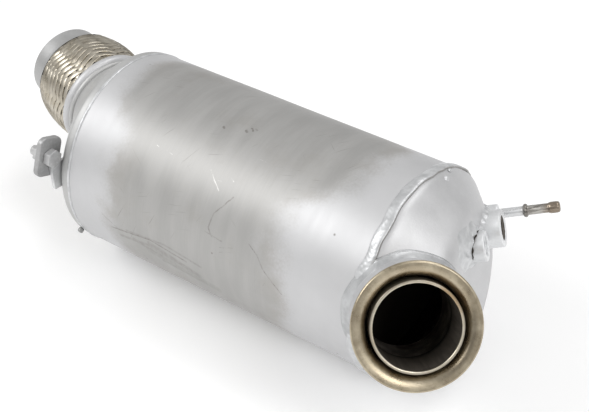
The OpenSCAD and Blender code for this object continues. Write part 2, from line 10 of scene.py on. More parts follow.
import bmesh
import bpy
import numpy as np
from mathutils import Matrix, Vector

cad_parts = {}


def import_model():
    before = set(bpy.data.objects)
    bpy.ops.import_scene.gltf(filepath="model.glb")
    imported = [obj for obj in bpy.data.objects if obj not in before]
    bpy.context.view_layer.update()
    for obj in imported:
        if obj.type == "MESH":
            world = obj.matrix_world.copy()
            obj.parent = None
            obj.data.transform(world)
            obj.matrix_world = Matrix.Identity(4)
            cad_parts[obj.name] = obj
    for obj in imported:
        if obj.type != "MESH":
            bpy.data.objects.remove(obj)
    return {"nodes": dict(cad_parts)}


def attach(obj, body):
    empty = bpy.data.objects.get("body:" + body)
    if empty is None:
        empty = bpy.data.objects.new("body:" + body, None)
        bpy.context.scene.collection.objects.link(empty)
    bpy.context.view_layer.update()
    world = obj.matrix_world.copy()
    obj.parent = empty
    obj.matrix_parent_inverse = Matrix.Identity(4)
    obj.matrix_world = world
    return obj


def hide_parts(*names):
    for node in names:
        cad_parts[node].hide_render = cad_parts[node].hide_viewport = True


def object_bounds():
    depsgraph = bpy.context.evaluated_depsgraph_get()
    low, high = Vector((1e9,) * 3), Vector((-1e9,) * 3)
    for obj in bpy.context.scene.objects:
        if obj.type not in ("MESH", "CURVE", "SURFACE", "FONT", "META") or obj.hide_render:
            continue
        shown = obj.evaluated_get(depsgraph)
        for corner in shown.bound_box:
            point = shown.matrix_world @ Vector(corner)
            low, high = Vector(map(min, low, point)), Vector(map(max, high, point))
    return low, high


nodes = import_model()["nodes"]
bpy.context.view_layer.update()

# Sizes of the part, in millimetres
CAN_R, SHELL_T = 77.5, 1.5
SEAM, RIM = 130.0, -130.0
SKIRT, RING_R, ROUND, DOME_T = 6.0, 38.0, 22.0, 2.0
NECK_R, NECK_T, SHOULDER = 38.0, 2.0, 10.0
LINER_R, LINER_T, LINER_LEN, LIP, SEAT = 28.0, 2.0, 40.0, 0.9, 28.0
SLEEVE_END = -74.0
BELL_C, BELL_R, FLANGE_T, CUFF = 40.5, 9.0, 3.0, 7.0
BELL_FULL, BELL_LEAN = 2.6, 0.12  # power of the face's superellipse, and how far it drops towards the throat
PIPE_R, PIPE_BORE, PIPE_FOOT, PIPE_STOP = 3.4, 2.2, -19.0, 19.0
CONE_T, CONE_ROUND = 2.0, 5.0
CUFF_R, BELLOWS_T = 34.0, 0.6
COLLAR_R, COLLAR_C = 4.2, 38.2
CAP_R, CAP_T, TAIL_R, OUTLET_R = 36.2, 1.5, 31.5, 32.0
BRAID_LEN, BRAID_0, BRAID_1, BRAID_2 = 40.0, 41.0, 42.2, 38.0
FIT = 0.1  # clearance of pieces that slide into one another
MM = 0.001  # a millimetre in metres
TAU = 2.0 * math.pi


# Places


def turn(axis, degrees):
    """Rotation about one row axis, by the right-hand rule."""
    c, s = math.cos(math.radians(degrees)), math.sin(math.radians(degrees))
    i, j = {"X": (1, 2), "Y": (2, 0), "Z": (0, 1)}[axis]
    m = np.eye(4)
    m[i, i] = m[j, j] = c
    m[i, j], m[j, i] = -s, s
    return m


def shift(x, y, z):
    """Move by x, y and z."""
    m = np.eye(4)
    m[:3, 3] = x, y, z
    return m


def moved(m, points):
    """Points taken through a 4 by 4 matrix."""
    return points @ m[:3, :3].T + m[:3, 3]


_inlet = shift(SEAM - 9, 0, 0) @ turn("X", -36) @ shift(0, 0, -22) @ turn("Z", 35) @ turn("X", 90) @ shift(0, 0, 109)
CAN = shift(*-_inlet[:3, 3])  # the can's own frame, X along it
CAN_Z = CAN @ turn("Y", 90)  # Z along the can
INLET = CAN @ _inlet  # Z out of the mouth, 0 at the mouth
END = CAN @ shift(SEAM, 0, 0) @ turn("X", 34) @ shift(19.4, 6.5, 0) @ turn("Z", 14.4)  # X square to the dome's end
OUTLET = CAN @ shift(RIM, 0, 0) @ turn("X", 25) @ shift(-58.5, 28.5, 0) @ turn("Z", -16) @ turn("Y", -90)
GAS, TEMP, PRESSURE = [
    END @ shift(ROUND, w, v) @ turn("Z", 15.6) @ turn("Y", 90) for w, v in ((36, 0), (15.3, 17.7), (57.2, -19.6))
]


# Mesh making


def link(name, data):
    """A new object of some data, put in the scene."""
    obj = bpy.data.objects.new(name, data)
    bpy.context.scene.collection.objects.link(obj)
    return obj


def piece(name, mesh, material, replaces=()):
    """A new piece of the part: a mesh with its finish and the CAD nodes it stands for."""
    mesh.materials.append(material)
    obj = link(name, mesh)
    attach(obj, "root")
    if replaces:
        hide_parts(*replaces)
    return obj


def around(cols):
    """Angles spread evenly round a circle."""
    return np.linspace(0, TAU, cols, endpoint=False)


def polar(r, a, z):
    """Points at a radius, an angle about Z and a height."""
    return np.stack(np.broadcast_arrays(r * np.cos(a), r * np.sin(a), z), -1)


def surface(name, grid, place, u_mm=None, v_mm=None, ring=False, start=None, end=None):
    """A closed smooth mesh from a grid of rows and columns.

    Columns run round the piece and join up. Rows join up too if ring is set; otherwise start and end are the two
    points that close them. The UV map holds u_mm round and v_mm along, which is a mark where a finish says so. The
    faces are turned round if the volume that they shut in comes out below zero.
    """
    rows, cols = grid.shape[:2]
    points = [grid.reshape(-1, 3)]
    u = np.linspace(0.0, u_mm or TAU * np.hypot(grid[..., 0], grid[..., 1]).max(), cols + 1)
    v = np.arange(rows + 1.0) if v_mm is None else np.append(v_mm, v_mm[-1])
    i = np.arange(cols)[:, None] + [0, 1, 1, 0]
    r = np.arange(rows if ring else rows - 1)[:, None, None] + [0, 0, 1, 1]
    quads = (r % rows * cols + i % cols).reshape(-1, 4)
    quad_uv = np.stack(np.broadcast_arrays(u[i], v[r]), -1).reshape(-1, 4, 2)
    tris, tri_uv = [np.zeros((0, 3), int)], [np.zeros((0, 3, 2))]
    here, after = np.arange(cols), np.arange(1, cols + 1) % cols
    for point, row in ((start, 0), (end, rows - 1)):
        if point is None:
            continue
        order = (after, here) if row == 0 else (here, after)
        tip = np.full(cols, rows * cols + len(points) - 1)
        points.append(np.asarray(point, float).reshape(1, 3))
        tris.append(np.stack([tip, row * cols + order[0], row * cols + order[1]], -1))
        tri_uv.append(np.stack([np.stack([u[:-1], 0 * u[:-1] + v[row]], -1)] * 3, -2))
    points, tris, tri_uv = moved(place, np.concatenate(points)) * MM, np.concatenate(tris), np.concatenate(tri_uv)
    first, second, third = points[np.concatenate([quads[:, :3], quads[:, [0, 2, 3]], tris])].transpose(1, 0, 2)
    if np.einsum("ij,ij->", np.cross(first, second), third) < 0:
        quads, quad_uv, tris, tri_uv = quads[:, ::-1], quad_uv[:, ::-1], tris[:, ::-1], tri_uv[:, ::-1]
    loops = np.concatenate([quads.ravel(), tris.ravel()])
    starts = np.concatenate([np.arange(len(quads)) * 4, len(quads) * 4 + np.arange(len(tris)) * 3])
    mesh = bpy.data.meshes.new(name)
    mesh.vertices.add(len(points))
    mesh.vertices.foreach_set("co", points.astype(np.float32).ravel())
    mesh.loops.add(len(loops))
    mesh.loops.foreach_set("vertex_index", loops.astype(np.int32))
    mesh.polygons.add(len(starts))
    mesh.polygons.foreach_set("loop_start", starts.astype(np.int32))
    mesh.polygons.foreach_set("use_smooth", np.ones(len(starts), bool))
    layer = mesh.uv_layers.new(name="millimetres")
    layer.uv.foreach_set("vector", np.concatenate([quad_uv.reshape(-1), tri_uv.reshape(-1)]).astype(np.float32))
    mesh.update(calc_edges=True)
    mesh.validate()
    return mesh


def skin(name, grid, place, material, slot, replaces=(), **form):
    """A piece that is one closed surface."""
    return piece(name, surface(name, grid, place, **form), material, replaces)


def revolved(outline, cols):
    """Grid of an outline of radius and height turned about Z."""
    return polar(outline[:, 0, None], around(cols), outline[:, 1, None])


def spun(name, outline, cols, place, material, slot, replaces=(), v_mm=None):
    """A piece that is a closed outline turned about Z. Its UV map goes by height, unless v_mm is given."""
    along = outline[:, 1] if v_mm is None else v_mm
    return skin(name, revolved(outline, cols), place, material, slot, replaces, v_mm=along, ring=True)


def rounded(corners, radius, steps=7):
    """A closed outline with each corner turned into a curve that starts the radius away from it."""
    p = np.asarray(corners, float)
    before, after = np.roll(p, 1, 0) - p, np.roll(p, -1, 0) - p
    lb, la = np.linalg.norm(before, axis=1), np.linalg.norm(after, axis=1)
    cut = np.minimum(np.broadcast_to(radius, lb.shape), 0.48 * np.minimum(lb, la))[:, None]
    a, b = p + before / lb[:, None] * cut, p + after / la[:, None] * cut
    s = np.linspace(0, 1, steps)[None, :, None]
    return ((1 - s) ** 2 * a[:, None] + 2 * s * (1 - s) * p[:, None] + s**2 * b[:, None]).reshape(-1, 2)


def refined(outline, step, closed=True):
    """The same outline with extra points, so that no side is longer than the step."""
    p = np.vstack([outline, outline[:1]]) if closed else outline
    length = np.concatenate([[0], np.cumsum(np.linalg.norm(np.diff(p, axis=0), axis=1))])
    more = np.linspace(0, length[-1], max(2, int(length[-1] / step)))
    at = np.unique(np.round(np.concatenate([length, more]), 5))
    out = np.stack([np.interp(at, length, p[:, k]) for k in (0, 1)], -1)
    keep = np.concatenate([[True], np.linalg.norm(np.diff(out, axis=0), axis=1) > 1e-4])
    out = out[keep]
    return out[:-1] if closed else out


def smoothed(grid, times):
    """A grid whose rows are averaged with the rows beside them a number of times, its two end rows kept."""
    for _ in range(times):
        grid[1:-1] = 0.25 * grid[:-2] + 0.5 * grid[1:-1] + 0.25 * grid[2:]
    return grid


def largest(test, high):
    """The largest value from 0 to high at which each column's test still holds, found by halving."""
    low = np.zeros_like(high)
    for _ in range(40):
        middle = (low + high) / 2
        holds = test(middle)
        low, high = np.where(holds, middle, low), np.where(holds, high, middle)
    return low


def lumps(angle, along, turns, waves, seed, terms=20):
    """Smooth unevenness of about 1 either way: a sum of sines that closes round the angle.

    turns is the range of whole waves round, and waves the range of waves in one millimetre along.
    """
    rng = np.random.default_rng(seed)
    round_waves = rng.integers(turns[0], turns[1] + 1, terms)
    along_waves = rng.uniform(*waves, terms)
    total = 0.0
    for k, w, p in zip(round_waves, along_waves, rng.uniform(0, TAU, terms)):
        total = total + np.sin(k * angle + TAU * w * along + p)
    return total / math.sqrt(terms)


# Material making

INSIDE = -1000.0  # along the UV map, where a sheet's sooted inside is put
FALLING = {3: 1.0, 4: 0.0}  # for a range that goes from 1 down to 0
SOOTED = {1: -600.0, 2: -400.0, **FALLING}  # along the UV map from a sooted inside to an outside
USUAL = {  # settings and sockets that a kind of node takes here unless told otherwise, and the output it gives
    "MapRange": ({"interpolation_type": "SMOOTHSTEP"}, {}, 0),  # value 0, taken from the range 1 to 2 into 3 to 4
    "Mix": ({"data_type": "RGBA"}, {}, 2),  # share 0, from the colour 6 to the colour 7
    "TexNoise": ({}, {"Roughness": 0.55}, 0),
}


def srgb(text):
    """Linear colour of a hex sRGB colour."""
    c = np.array([int(text[k : k + 2], 16) / 255 for k in (1, 3, 5)])
    return tuple(np.where(c <= 0.04045, c / 12.92, ((c + 0.055) / 1.055) ** 2.4)) + (1.0,)


def per_metre(size):
    """How many lumps of a size in millimetres fit in a metre of object coordinates."""
    return 1000.0 / size


def add(tree, kind, sockets=None, out=None, **settings):
    """Adds a shader node with its settings, sets or links its sockets, and gives back one of its outputs."""
    node = tree.nodes.new("ShaderNode" + kind)
    usual_settings, usual_sockets, usual_out = USUAL.get(kind, ({}, {}, 0))
    for key, value in {**usual_settings, **settings}.items():
        setattr(node, key, value)
    for key, value in {**usual_sockets, **(sockets or {})}.items():
        if isinstance(value, bpy.types.NodeSocket):
            tree.links.new(value, node.inputs[key])
        else:
            node.inputs[key].default_value = value
    return node.outputs[usual_out if out is None else out] if node.outputs else None


def finish(sockets):
    """Turns a function that gives a shader's sockets into one that makes the named material.

    The function is handed what adds a node, object coordinates in metres and the UV map in millimetres.
    """

    @functools.wraps(sockets)
    def make(name, *args, **kw):
        made = bpy.data.materials.new(name)
        made.use_nodes = True
        made.node_tree.nodes.clear()
        put = functools.partial(add, made.node_tree)
        shader = sockets(put, put("TexCoord", out="Object"), put("TexCoord", out="UV"), *args, **kw)
        put("OutputMaterial", {"Surface": put("BsdfPrincipled", shader)})
        return made

    return make


def streaks(put, uv, u_size, v_size, detail, roughness=0.55):
    """Noise whose lumps are u_size round and v_size along on the UV map, which is shrunk by those sizes first."""
    shrunk = put("Mapping", {"Vector": uv, "Scale": (1 / u_size, 1 / v_size, 1.0)})
    return put("TexNoise", {"Vector": shrunk, "Scale": 1.0, "Detail": detail, "Roughness": roughness})


@finish
def spray_paint(put, obj, uv, light="#cfcfd0", dark="#c3c3c4", metallic=0.55, rough=0.47, peel=1.0, sooted=False):
    """Heat-resistant silver paint, sprayed: a soft even sheen, mottled over 30 mm, with an orange peel.

    The peel's lumps are 1.1 mm, as fine as the render can show. A sooted sheet is dark where its UV map lies
    far below zero, which marks its inside.
    """
    mottle = put("TexNoise", {"Vector": obj, "Scale": per_metre(29.4), "Detail": 4.0})
    specks = put("TexNoise", {"Vector": obj, "Scale": per_metre(1.92), "Detail": 2.0})
    cloudy = put("MapRange", {0: mottle, 1: 0.3, 2: 0.7, 4: 0.75})
    grainy = put("MapRange", {0: specks, 1: 0.45, 2: 0.75, 4: 0.25})
    tone = put("Math", {0: cloudy, 1: grainy}, operation="ADD")
    colour = put("Mix", {0: tone, 6: srgb(dark), 7: srgb(light)})
    if sooted:
        along = put("SeparateXYZ", {0: uv}, 1)
        inside = put("MapRange", {0: along, **SOOTED})
        soot = put("Mix", {0: mottle, 6: srgb("#45403b"), 7: srgb("#8a847c")})
        colour = put("Mix", {0: inside, 6: colour, 7: soot})
    peeled = put("TexNoise", {"Vector": obj, "Scale": per_metre(1.11), "Detail": 2.0})
    return {
        "Base Color": colour,
        "Roughness": put("MapRange", {0: mottle, 1: 0.3, 2: 0.75, 3: rough - 0.05, 4: rough + 0.07}),
        "Metallic": metallic,
        "Normal": put("Bump", {"Height": peeled, "Distance": 0.00006 * peel}),
    }


# Marks on the can: points round and along it and the width of the mark, in millimetres, and how dark it is
DARK_MARKS = [
    ([(313, 18), (321, 13), (329, 7), (340, 5), (346, 9)], 0.9, 0.9),
    ([(339, 41), (344, 49), (352, 55), (359, 64), (365, 72)], 0.85, 0.9),
    ([(380, -88), (374, -49), (379, -15)], 1.2, 0.8),
    ([(376, -72), (372, -35), (377, -1)], 1.6, 0.4),
    ([(378, -50), (389, -5)], 3.2, 0.45),
    ([(382, -66), (387, -38)], 2.6, 0.4),
    ([(385, -80), (381, -52), (386, -20)], 2.0, 0.4),
    ([(371, -96), (379, -80)], 0.8, 0.7),
    ([(392, -40), (396, 2)], 2.4, 0.4),
    ([(386, -52), (396, 10)], 5.0, 0.3),
    ([(344, 2), (346, 18)], 0.9, 0.6),
    ([(352, 15), (347, 28)], 0.7, 0.6),
    ([(355, 17), (351, 27)], 0.7, 0.6),
    ([(268.6, -19.4), (269.4, -18.0)], 1.3, 1.0),
    ([(264.0, -2.2), (264.8, -1.0)], 1.5, 1.0),
    ([(260.5, 0.0), (260.9, 1.4), (262.2, 2.6)], 1.2, 1.0),
    ([(259.6, 3.2), (260.4, 4.8)], 1.1, 1.0),
]
BRIGHT_MARKS = [
    ([(301, -51), (303, -43)], 0.6),
    ([(302, -8), (308, -1), (313, 5)], 0.7),
    ([(307.5, -2), (305, 9)], 0.5),
    ([(301, 9), (303, 13)], 0.6),
    ([(281, 23), (281.5, 29)], 0.5),
    ([(301, -59), (302.5, -53)], 0.5),
]


def stroke(put, uv, points, width):
    """Mask of a mark drawn through points of the UV map: 1 on the line, falling to 0 at its width from it."""
    total = 0.0
    for (u0, v0), (u1, v1) in zip(points, points[1:]):
        way = np.array([u1 - u0, v1 - v0, 0.0])
        off = put("VectorMath", {0: uv, 1: (u0, v0, 0.0)}, operation="SUBTRACT")
        share = put("VectorMath", {0: off, 1: tuple(way / (way @ way))}, "Value", operation="DOT_PRODUCT")
        near = put("VectorMath", {0: tuple(way), "Scale": put("Clamp", {0: share})}, operation="SCALE")
        gap = put("VectorMath", {0: off, 1: near}, "Value", operation="DISTANCE")
        mask = put("MapRange", {0: gap, 1: 0.4 * width, 2: width, **FALLING})
        total = put("Math", {0: total, 1: mask}, operation="MAXIMUM")
    return total


@finish
def can_steel(put, obj, uv):
    """Rolled stainless sheet, brushed round the can and dulled by heat, with silver spray fading in at both ends.

    The bare part reaches farther along the can on top. Its brush lines are 0.4 mm wide and 55 mm long. Thin
    scratches, rubbed streaks and a few dark specks lie on it, and its inside is sooted.
    """
    along = put("SeparateXYZ", {0: uv}, 1)
    inside = put("MapRange", {0: along, **SOOTED})

    # where the steel is bare: the spray's edges wander by 25 mm and end in a fine mist
    stir = put("TexNoise", {"Vector": obj, "Scale": per_metre(62.5), "Detail": 3.0})
    drift = put("Math", {0: stir, 1: 0.05, 2: -0.025 - float(CAN[0, 3]) * MM}, operation="MULTIPLY_ADD")
    x = put("Math", {0: put("SeparateXYZ", {0: obj}), 1: drift}, operation="ADD")
    middle = float(CAN[2, 3]) * MM
    up = put("MapRange", {0: put("SeparateXYZ", {0: obj}, 2), 1: middle + 0.054, 2: middle + 0.073})
    far = put("Math", {0: up, 1: 0.020, 2: x}, operation="MULTIPLY_ADD")
    near = put("Math", {0: up, 1: -0.034, 2: x}, operation="MULTIPLY_ADD")
    far = put("MapRange", {0: far, 1: -0.114, 2: -0.062})
    near = put("MapRange", {0: near, 1: 0.030, 2: 0.092, **FALLING})
    bare = put("Math", {0: far, 1: near}, operation="MULTIPLY")
    mist = put("TexNoise", {"Vector": obj, "Scale": per_metre(1.61), "Detail": 2.0})
    bare = put("Math", {0: mist, 1: 0.3, 2: bare}, operation="MULTIPLY_ADD")
    bare = put("MapRange", {0: bare, 1: 0.27, 2: 1.03})

    # tones of the paint and of the steel
    brush = streaks(put, uv, 55.5, 0.385, 3.0, 0.6)
    broad = streaks(put, uv, 83.0, 14.3, 4.0, 0.6)
    stain = put("TexNoise", {"Vector": obj, "Scale": per_metre(41.7), "Detail": 5.0, "Roughness": 0.62})
    cloud = put("TexNoise", {"Vector": obj, "Scale": per_metre(29.4), "Detail": 4.0})
    banded = put("MapRange", {0: broad, 1: 0.3, 2: 0.7})
    steel = put("Mix", {0: banded, 6: srgb("#a8a7a5"), 7: srgb("#b2b1af")})
    stained = put("MapRange", {0: stain, 1: 0.5, 2: 0.78, 4: 0.45})
    steel = put("Mix", {0: stained, 6: steel, 7: srgb("#9d9993")})
    brushed = put("MapRange", {0: brush, 1: 0.35, 2: 0.75, 4: 0.14})
    steel = put("Mix", {0: brushed, 6: steel, 7: srgb("#c5c4c2")})
    paint = put("Mix", {0: cloud, 6: srgb("#bfbfc0"), 7: srgb("#cfcfd0")})

    # scratches: threads of noise 28 mm long along three ways, then the drawn marks
    scratch, nick = 0.0, 0.0
    for angle, width, gate in ((0.5, 1.11, 0.6), (1.25, 0.91, 0.62), (2.2, 1.25, 0.63)):
        aligned = put("VectorRotate", {"Vector": uv, "Angle": angle}, rotation_type="Z_AXIS")
        thread = streaks(put, aligned, 28.6, width, 1.0)
        thread = put("MapRange", {0: thread, 1: 0.69, 2: 0.74})
        where = streaks(put, aligned, 50.0, 50.0, 1.0)
        where = put("MapRange", {0: where, 1: gate - 0.1, 2: gate})
        scratch = put("Math", {0: thread, 1: where, 2: scratch}, operation="MULTIPLY_ADD")
    seen = put("MapRange", {0: bare, 1: 0.2, 2: 0.9, 4: 0.45})
    scratch = put("Math", {0: scratch, 1: seen}, operation="MULTIPLY")
    shake = put("TexNoise", {"Vector": uv, "Scale": 1 / 4.0, "Detail": 3.0, "Roughness": 0.5}, "Color")
    shaken = put("VectorMath", {0: uv, 1: shake}, operation="ADD")
    wear = put("TexNoise", {"Vector": uv, "Scale": 1 / 2.86, "Detail": 3.0, "Roughness": 0.65})
    worn_in = put("MapRange", {0: wear, 1: 0.34, 2: 0.62, 3: 0.4, 4: 0.95})
    for points, width, dark in DARK_MARKS:
        shade = put("Math", {0: worn_in, 1: dark}, operation="MULTIPLY")
        mark = put("Math", {0: stroke(put, shaken, points, width), 1: shade}, operation="MULTIPLY")
        scratch = put("Math", {0: scratch, 1: mark}, operation="MAXIMUM")
    for points, width in BRIGHT_MARKS:
        nick = put("Math", {0: nick, 1: stroke(put, shaken, points, width)}, operation="MAXIMUM")
    dots = put("TexVoronoi", {"Vector": obj, "Scale": per_metre(16.7)}, "Distance", feature="F1")
    dots = put("MapRange", {0: dots, 1: 0.03, 2: 0.08, **FALLING})
    few = put("TexNoise", {"Vector": obj, "Scale": per_metre(45.5), "Detail": 1.0})
    speck = put("Math", {0: dots, 1: put("MapRange", {0: few, 1: 0.56, 2: 0.62})}, operation="MULTIPLY")

    # the spray's brown fringe, and all of it laid over the paint
    rest = put("Math", {0: 1.0, 1: bare}, operation="SUBTRACT")
    fringe = put("Math", {0: bare, 1: rest}, operation="MULTIPLY")
    patchy = put("MapRange", {0: stain, 1: 0.4, 2: 0.6, 4: 1.2})
    layers = (
        (bare, 1.0, steel),
        (put("Math", {0: fringe, 1: patchy}, operation="MULTIPLY"), 1.0, srgb("#989289")),
        (scratch, 0.75, srgb("#6f6a63")),
        (nick, 0.75, srgb("#f0efec")),
        (speck, 0.7, srgb("#5d564c")),
        (inside, 1.0, srgb("#1c1815")),
    )
    colour = paint
    for mask, share, coat in layers:
        laid = put("Math", {0: mask, 1: share}, operation="MULTIPLY")
        colour = put("Mix", {0: laid, 6: colour, 7: coat})
    dull = put("MapRange", {0: bare, 3: 0.48, 4: 0.5})
    dull = put("Math", {0: dull, 1: put("MapRange", {0: broad, 1: 0.3, 2: 0.7, 4: 0.05})}, operation="ADD")
    height = put("Math", {0: brush, 1: bare}, operation="MULTIPLY")
    height = put("Math", {0: scratch, 1: -1.5, 2: height}, operation="MULTIPLY_ADD")
    return {
        "Base Color": colour,
        "Roughness": dull,
        "Metallic": put("MapRange", {0: bare, 3: 0.55, 4: 0.68}),
        "Normal": put("Bump", {"Height": height, "Distance": 0.000012}),
    }


@finish
def weld_metal(put, obj, uv, light="#d6d7d8", dark="#bdbebf"):
    """Weld run under silver spray: lumpy and bright, rippled 1.7 mm apart, with a dark line at its toes that is part
    bare heat-tinted steel and part painted shade of the crevice beside the run.

    The toes lie where the UV map's v nears 1.
    """
    across = put("SeparateXYZ", {0: uv}, 1)
    tone = put("TexNoise", {"Vector": obj, "Scale": per_metre(6.67), "Detail": 4.0})
    ripple = streaks(put, uv, 1.67, 1.0, 2.0)
    bright = put("MapRange", {0: tone, 1: 0.3, 2: 0.7})
    colour = put("Mix", {0: bright, 6: srgb(dark), 7: srgb(light)})
    # dark toe: part bare heat-tinted steel, part painted shade of the crevice
    toe = put("MapRange", {0: across, 1: 0.86, 2: 1.0, 4: 0.7})
    colour = put("Mix", {0: toe, 6: colour, 7: srgb("#827d77")})
    height = put("Math", {0: tone, 1: 0.5, 2: ripple}, operation="MULTIPLY_ADD")
    relief = put("Bump", {"Height": height, "Distance": 0.0001})
    return {"Base Color": colour, "Roughness": 0.4, "Metallic": 0.6, "Normal": relief}


@finish
def tinted_steel(put, obj, uv, light, dark, rough, grimy=0.42, shade_toward=None):
    """Stainless tinted by heat: straw and brown blotches of 12 mm, specks of 2.4 mm and turning lines round it.

    The lines are a third of a millimetre apart on the UV map, too fine to be told apart, and make a satin. Where a
    direction is given last, painted shade turns the steel dark brown on that side, from 16 to 36 mm out and up to 32
    along its UV map.
    """
    blotch = put("TexNoise", {"Vector": obj, "Scale": per_metre(12.5), "Detail": 5.0, "Roughness": 0.6})
    lines = streaks(put, uv, 50.0, 0.33, 2.0, 0.6)
    grime = put("TexNoise", {"Vector": obj, "Scale": per_metre(2.38), "Detail": 3.0, "Roughness": 0.6})
    blotched = put("MapRange", {0: blotch, 1: 0.32, 2: 0.68, 4: 0.7})
    lined = put("MapRange", {0: lines, 1: 0.35, 2: 0.7, 4: 0.3})
    tone = put("Math", {0: blotched, 1: lined}, operation="ADD")
    colour = put("Mix", {0: tone, 6: srgb(dark), 7: srgb(light)})
    if shade_toward:
        # painted shade: the face and rim darken towards one side, 16 to 36 mm out from the middle
        side = put("VectorMath", {0: obj, 1: shade_toward}, "Value", operation="DOT_PRODUCT")
        side = put("MapRange", {0: side, 1: 0.016, 2: 0.036, 4: 0.55})
        throat = put("MapRange", {0: put("SeparateXYZ", {0: uv}, 1), 1: 25.0, 2: 32.0, **FALLING})
        side_shade = put("Math", {0: side, 1: throat}, operation="MULTIPLY")
        colour = put("Mix", {0: side_shade, 6: colour, 7: srgb("#5a5348")})
    spots = put("MapRange", {0: grime, 1: 0.56, 2: 0.76, 4: grimy})
    height = put("Math", {0: grime, 1: 0.6, 2: lines}, operation="MULTIPLY_ADD")
    return {
        "Base Color": put("Mix", {0: spots, 6: colour, 7: srgb("#4a4034")}),
        "Roughness": put("MapRange", {0: blotch, 1: 0.3, 2: 0.7, 3: rough - 0.06, 4: rough + 0.08}),
        "Metallic": 1.0,
        "Normal": put("Bump", {"Height": height, "Distance": 0.00003}),
    }


@finish
def liner_steel(put, obj, uv):
    """Inner pipe: a bright lip with straw patches of 35 mm, rubbed by wear, then soot streaked along it, and painted
    shade that makes it near black from 30 to 40 mm deep.
    """
    depth = put("SeparateXYZ", {0: uv}, 1)
    streak = streaks(put, uv, 2.86, 33.0, 3.0, 0.6)
    soot = put("Mix", {0: streak, 6: srgb("#332e2a"), 7: srgb("#8b8379")})
    # painted shade: deeper than 30 mm the soot darkens to near black
    lit = put("MapRange", {0: depth, 1: -40.0, 2: -30.0})
    soot = put("Mix", {0: lit, 6: srgb("#120f0d"), 7: soot})
    grain = put("TexNoise", {"Vector": obj, "Scale": per_metre(3.33), "Detail": 3.0})
    worn_and_glint = put("Mix", {0: grain, 6: srgb("#cfc3a8"), 7: srgb("#efe9da")})
    patch = put("TexNoise", {"Vector": obj, "Scale": per_metre(35.7), "Detail": 2.0})
    straw = put("MapRange", {0: patch, 1: 0.48, 2: 0.66, 4: 0.8})
    worn_and_glint = put("Mix", {0: straw, 6: worn_and_glint, 7: srgb("#b08c58")})
    # the lip's bright colour, laid on in part where the UV map holds about -1.6, is wear on the pipe's outside and a
    # painted glint at its inner end
    lip = put("MapRange", {0: depth, 1: -2.4, 2: -0.6})
    crust = put("TexNoise", {"Vector": obj, "Scale": per_metre(1.43), "Detail": 3.0})
    return {
        "Base Color": put("Mix", {0: lip, 6: soot, 7: worn_and_glint}),
        "Roughness": put("MapRange", {0: depth, 1: -4.0, 2: 0.0, 3: 0.42, 4: 0.3}),
        "Metallic": put("MapRange", {0: depth, 1: -4.0, 2: 0.0, 3: 0.6, 4: 1.0}),
        "Normal": put("Bump", {"Height": crust, "Distance": 0.00005}),
    }


@finish
def braid_wire(put, obj, uv):
    """Drawn stainless wire: bright along each wire, with a warm tone that changes over 8 mm.

    Its drawing lines are 0.25 mm wide and 20 mm long, too fine to be told apart.
    """
    tone = put("TexNoise", {"Vector": obj, "Scale": per_metre(8.33), "Detail": 3.0})
    drawn = streaks(put, uv, 0.25, 20.0, 2.0)
    toned = put("MapRange", {0: tone, 1: 0.3, 2: 0.7})
    colour = put("Mix", {0: toned, 6: srgb("#b0a898"), 7: srgb("#d2cbbd")})
    lined = put("MapRange", {0: drawn, 1: 0.5, 2: 0.8, 4: 0.4})
    return {
        "Base Color": put("Mix", {0: lined, 6: colour, 7: srgb("#a0978a")}),
        "Roughness": put("MapRange", {0: tone, 1: 0.3, 2: 0.7, 3: 0.26, 4: 0.36}),
        "Metallic": 1.0,
        "Normal": put("Bump", {"Height": drawn, "Distance": 0.00002}),
    }


@finish
def pipe_steel(put, _, uv):
    """Drawn thin pipe: silver overspray near its root, bare and scuffed beyond, browned by heat at its swaged end.

    The scuffs are 2 mm wide and 8 mm long, and the stop ring is darker.
    """
    along = put("SeparateXYZ", {0: uv}, 1)
    scuff = streaks(put, uv, 2.0, 8.3, 4.0, 0.65)
    rubbed = put("MapRange", {0: scuff, 1: 0.35, 2: 0.65})
    bare = put("Mix", {0: rubbed, 6: srgb("#8d8984"), 7: srgb("#c6c3bd")})
    brown = put("Mix", {0: scuff, 6: srgb("#776858"), 7: srgb("#9c8e7d")})
    paint = put("Mix", {0: scuff, 6: srgb("#d2d3d4"), 7: srgb("#e6e7e8")})
    stripped = put("MapRange", {0: along, 1: 14.0, 2: 21.0})
    colour = put("Mix", {0: stripped, 6: paint, 7: bare})
    heated = put("MapRange", {0: along, 1: 28.0, 2: 37.0, 4: 0.85})
    colour = put("Mix", {0: heated, 6: colour, 7: brown})
    off_ring = put("Math", {0: put("Math", {0: along, 1: PIPE_STOP}, operation="SUBTRACT")}, operation="ABSOLUTE")
    ring = put("MapRange", {0: off_ring, 1: 1.0, 2: 2.2, 3: 0.8, 4: 0.0})
    return {
        "Base Color": put("Mix", {0: ring, 6: colour, 7: srgb("#75716b")}),
        "Roughness": put("MapRange", {0: scuff, 1: 0.3, 2: 0.7, 3: 0.24, 4: 0.38}),
        "Metallic": put("MapRange", {0: along, 1: 14.0, 2: 21.0, 3: 0.55, 4: 0.9}),
        "Normal": put("Bump", {"Height": scuff, "Distance": 0.00001}),
    }


@finish
def ceramic(put, obj, _, light, dark):
    """Fired ceramic or pressed fibre: matt and chalky, with blotches of 10 mm and pores of 1.7 mm."""
    blotch = put("TexNoise", {"Vector": obj, "Scale": per_metre(10.0), "Detail": 4.0})
    pores = put("TexNoise", {"Vector": obj, "Scale": per_metre(1.67), "Detail": 3.0})
    colour = put("Mix", {0: blotch, 6: srgb(dark), 7: srgb(light)})
    return {"Base Color": colour, "Roughness": 0.9, "Normal": put("Bump", {"Height": pores, "Distance": 0.0002})}


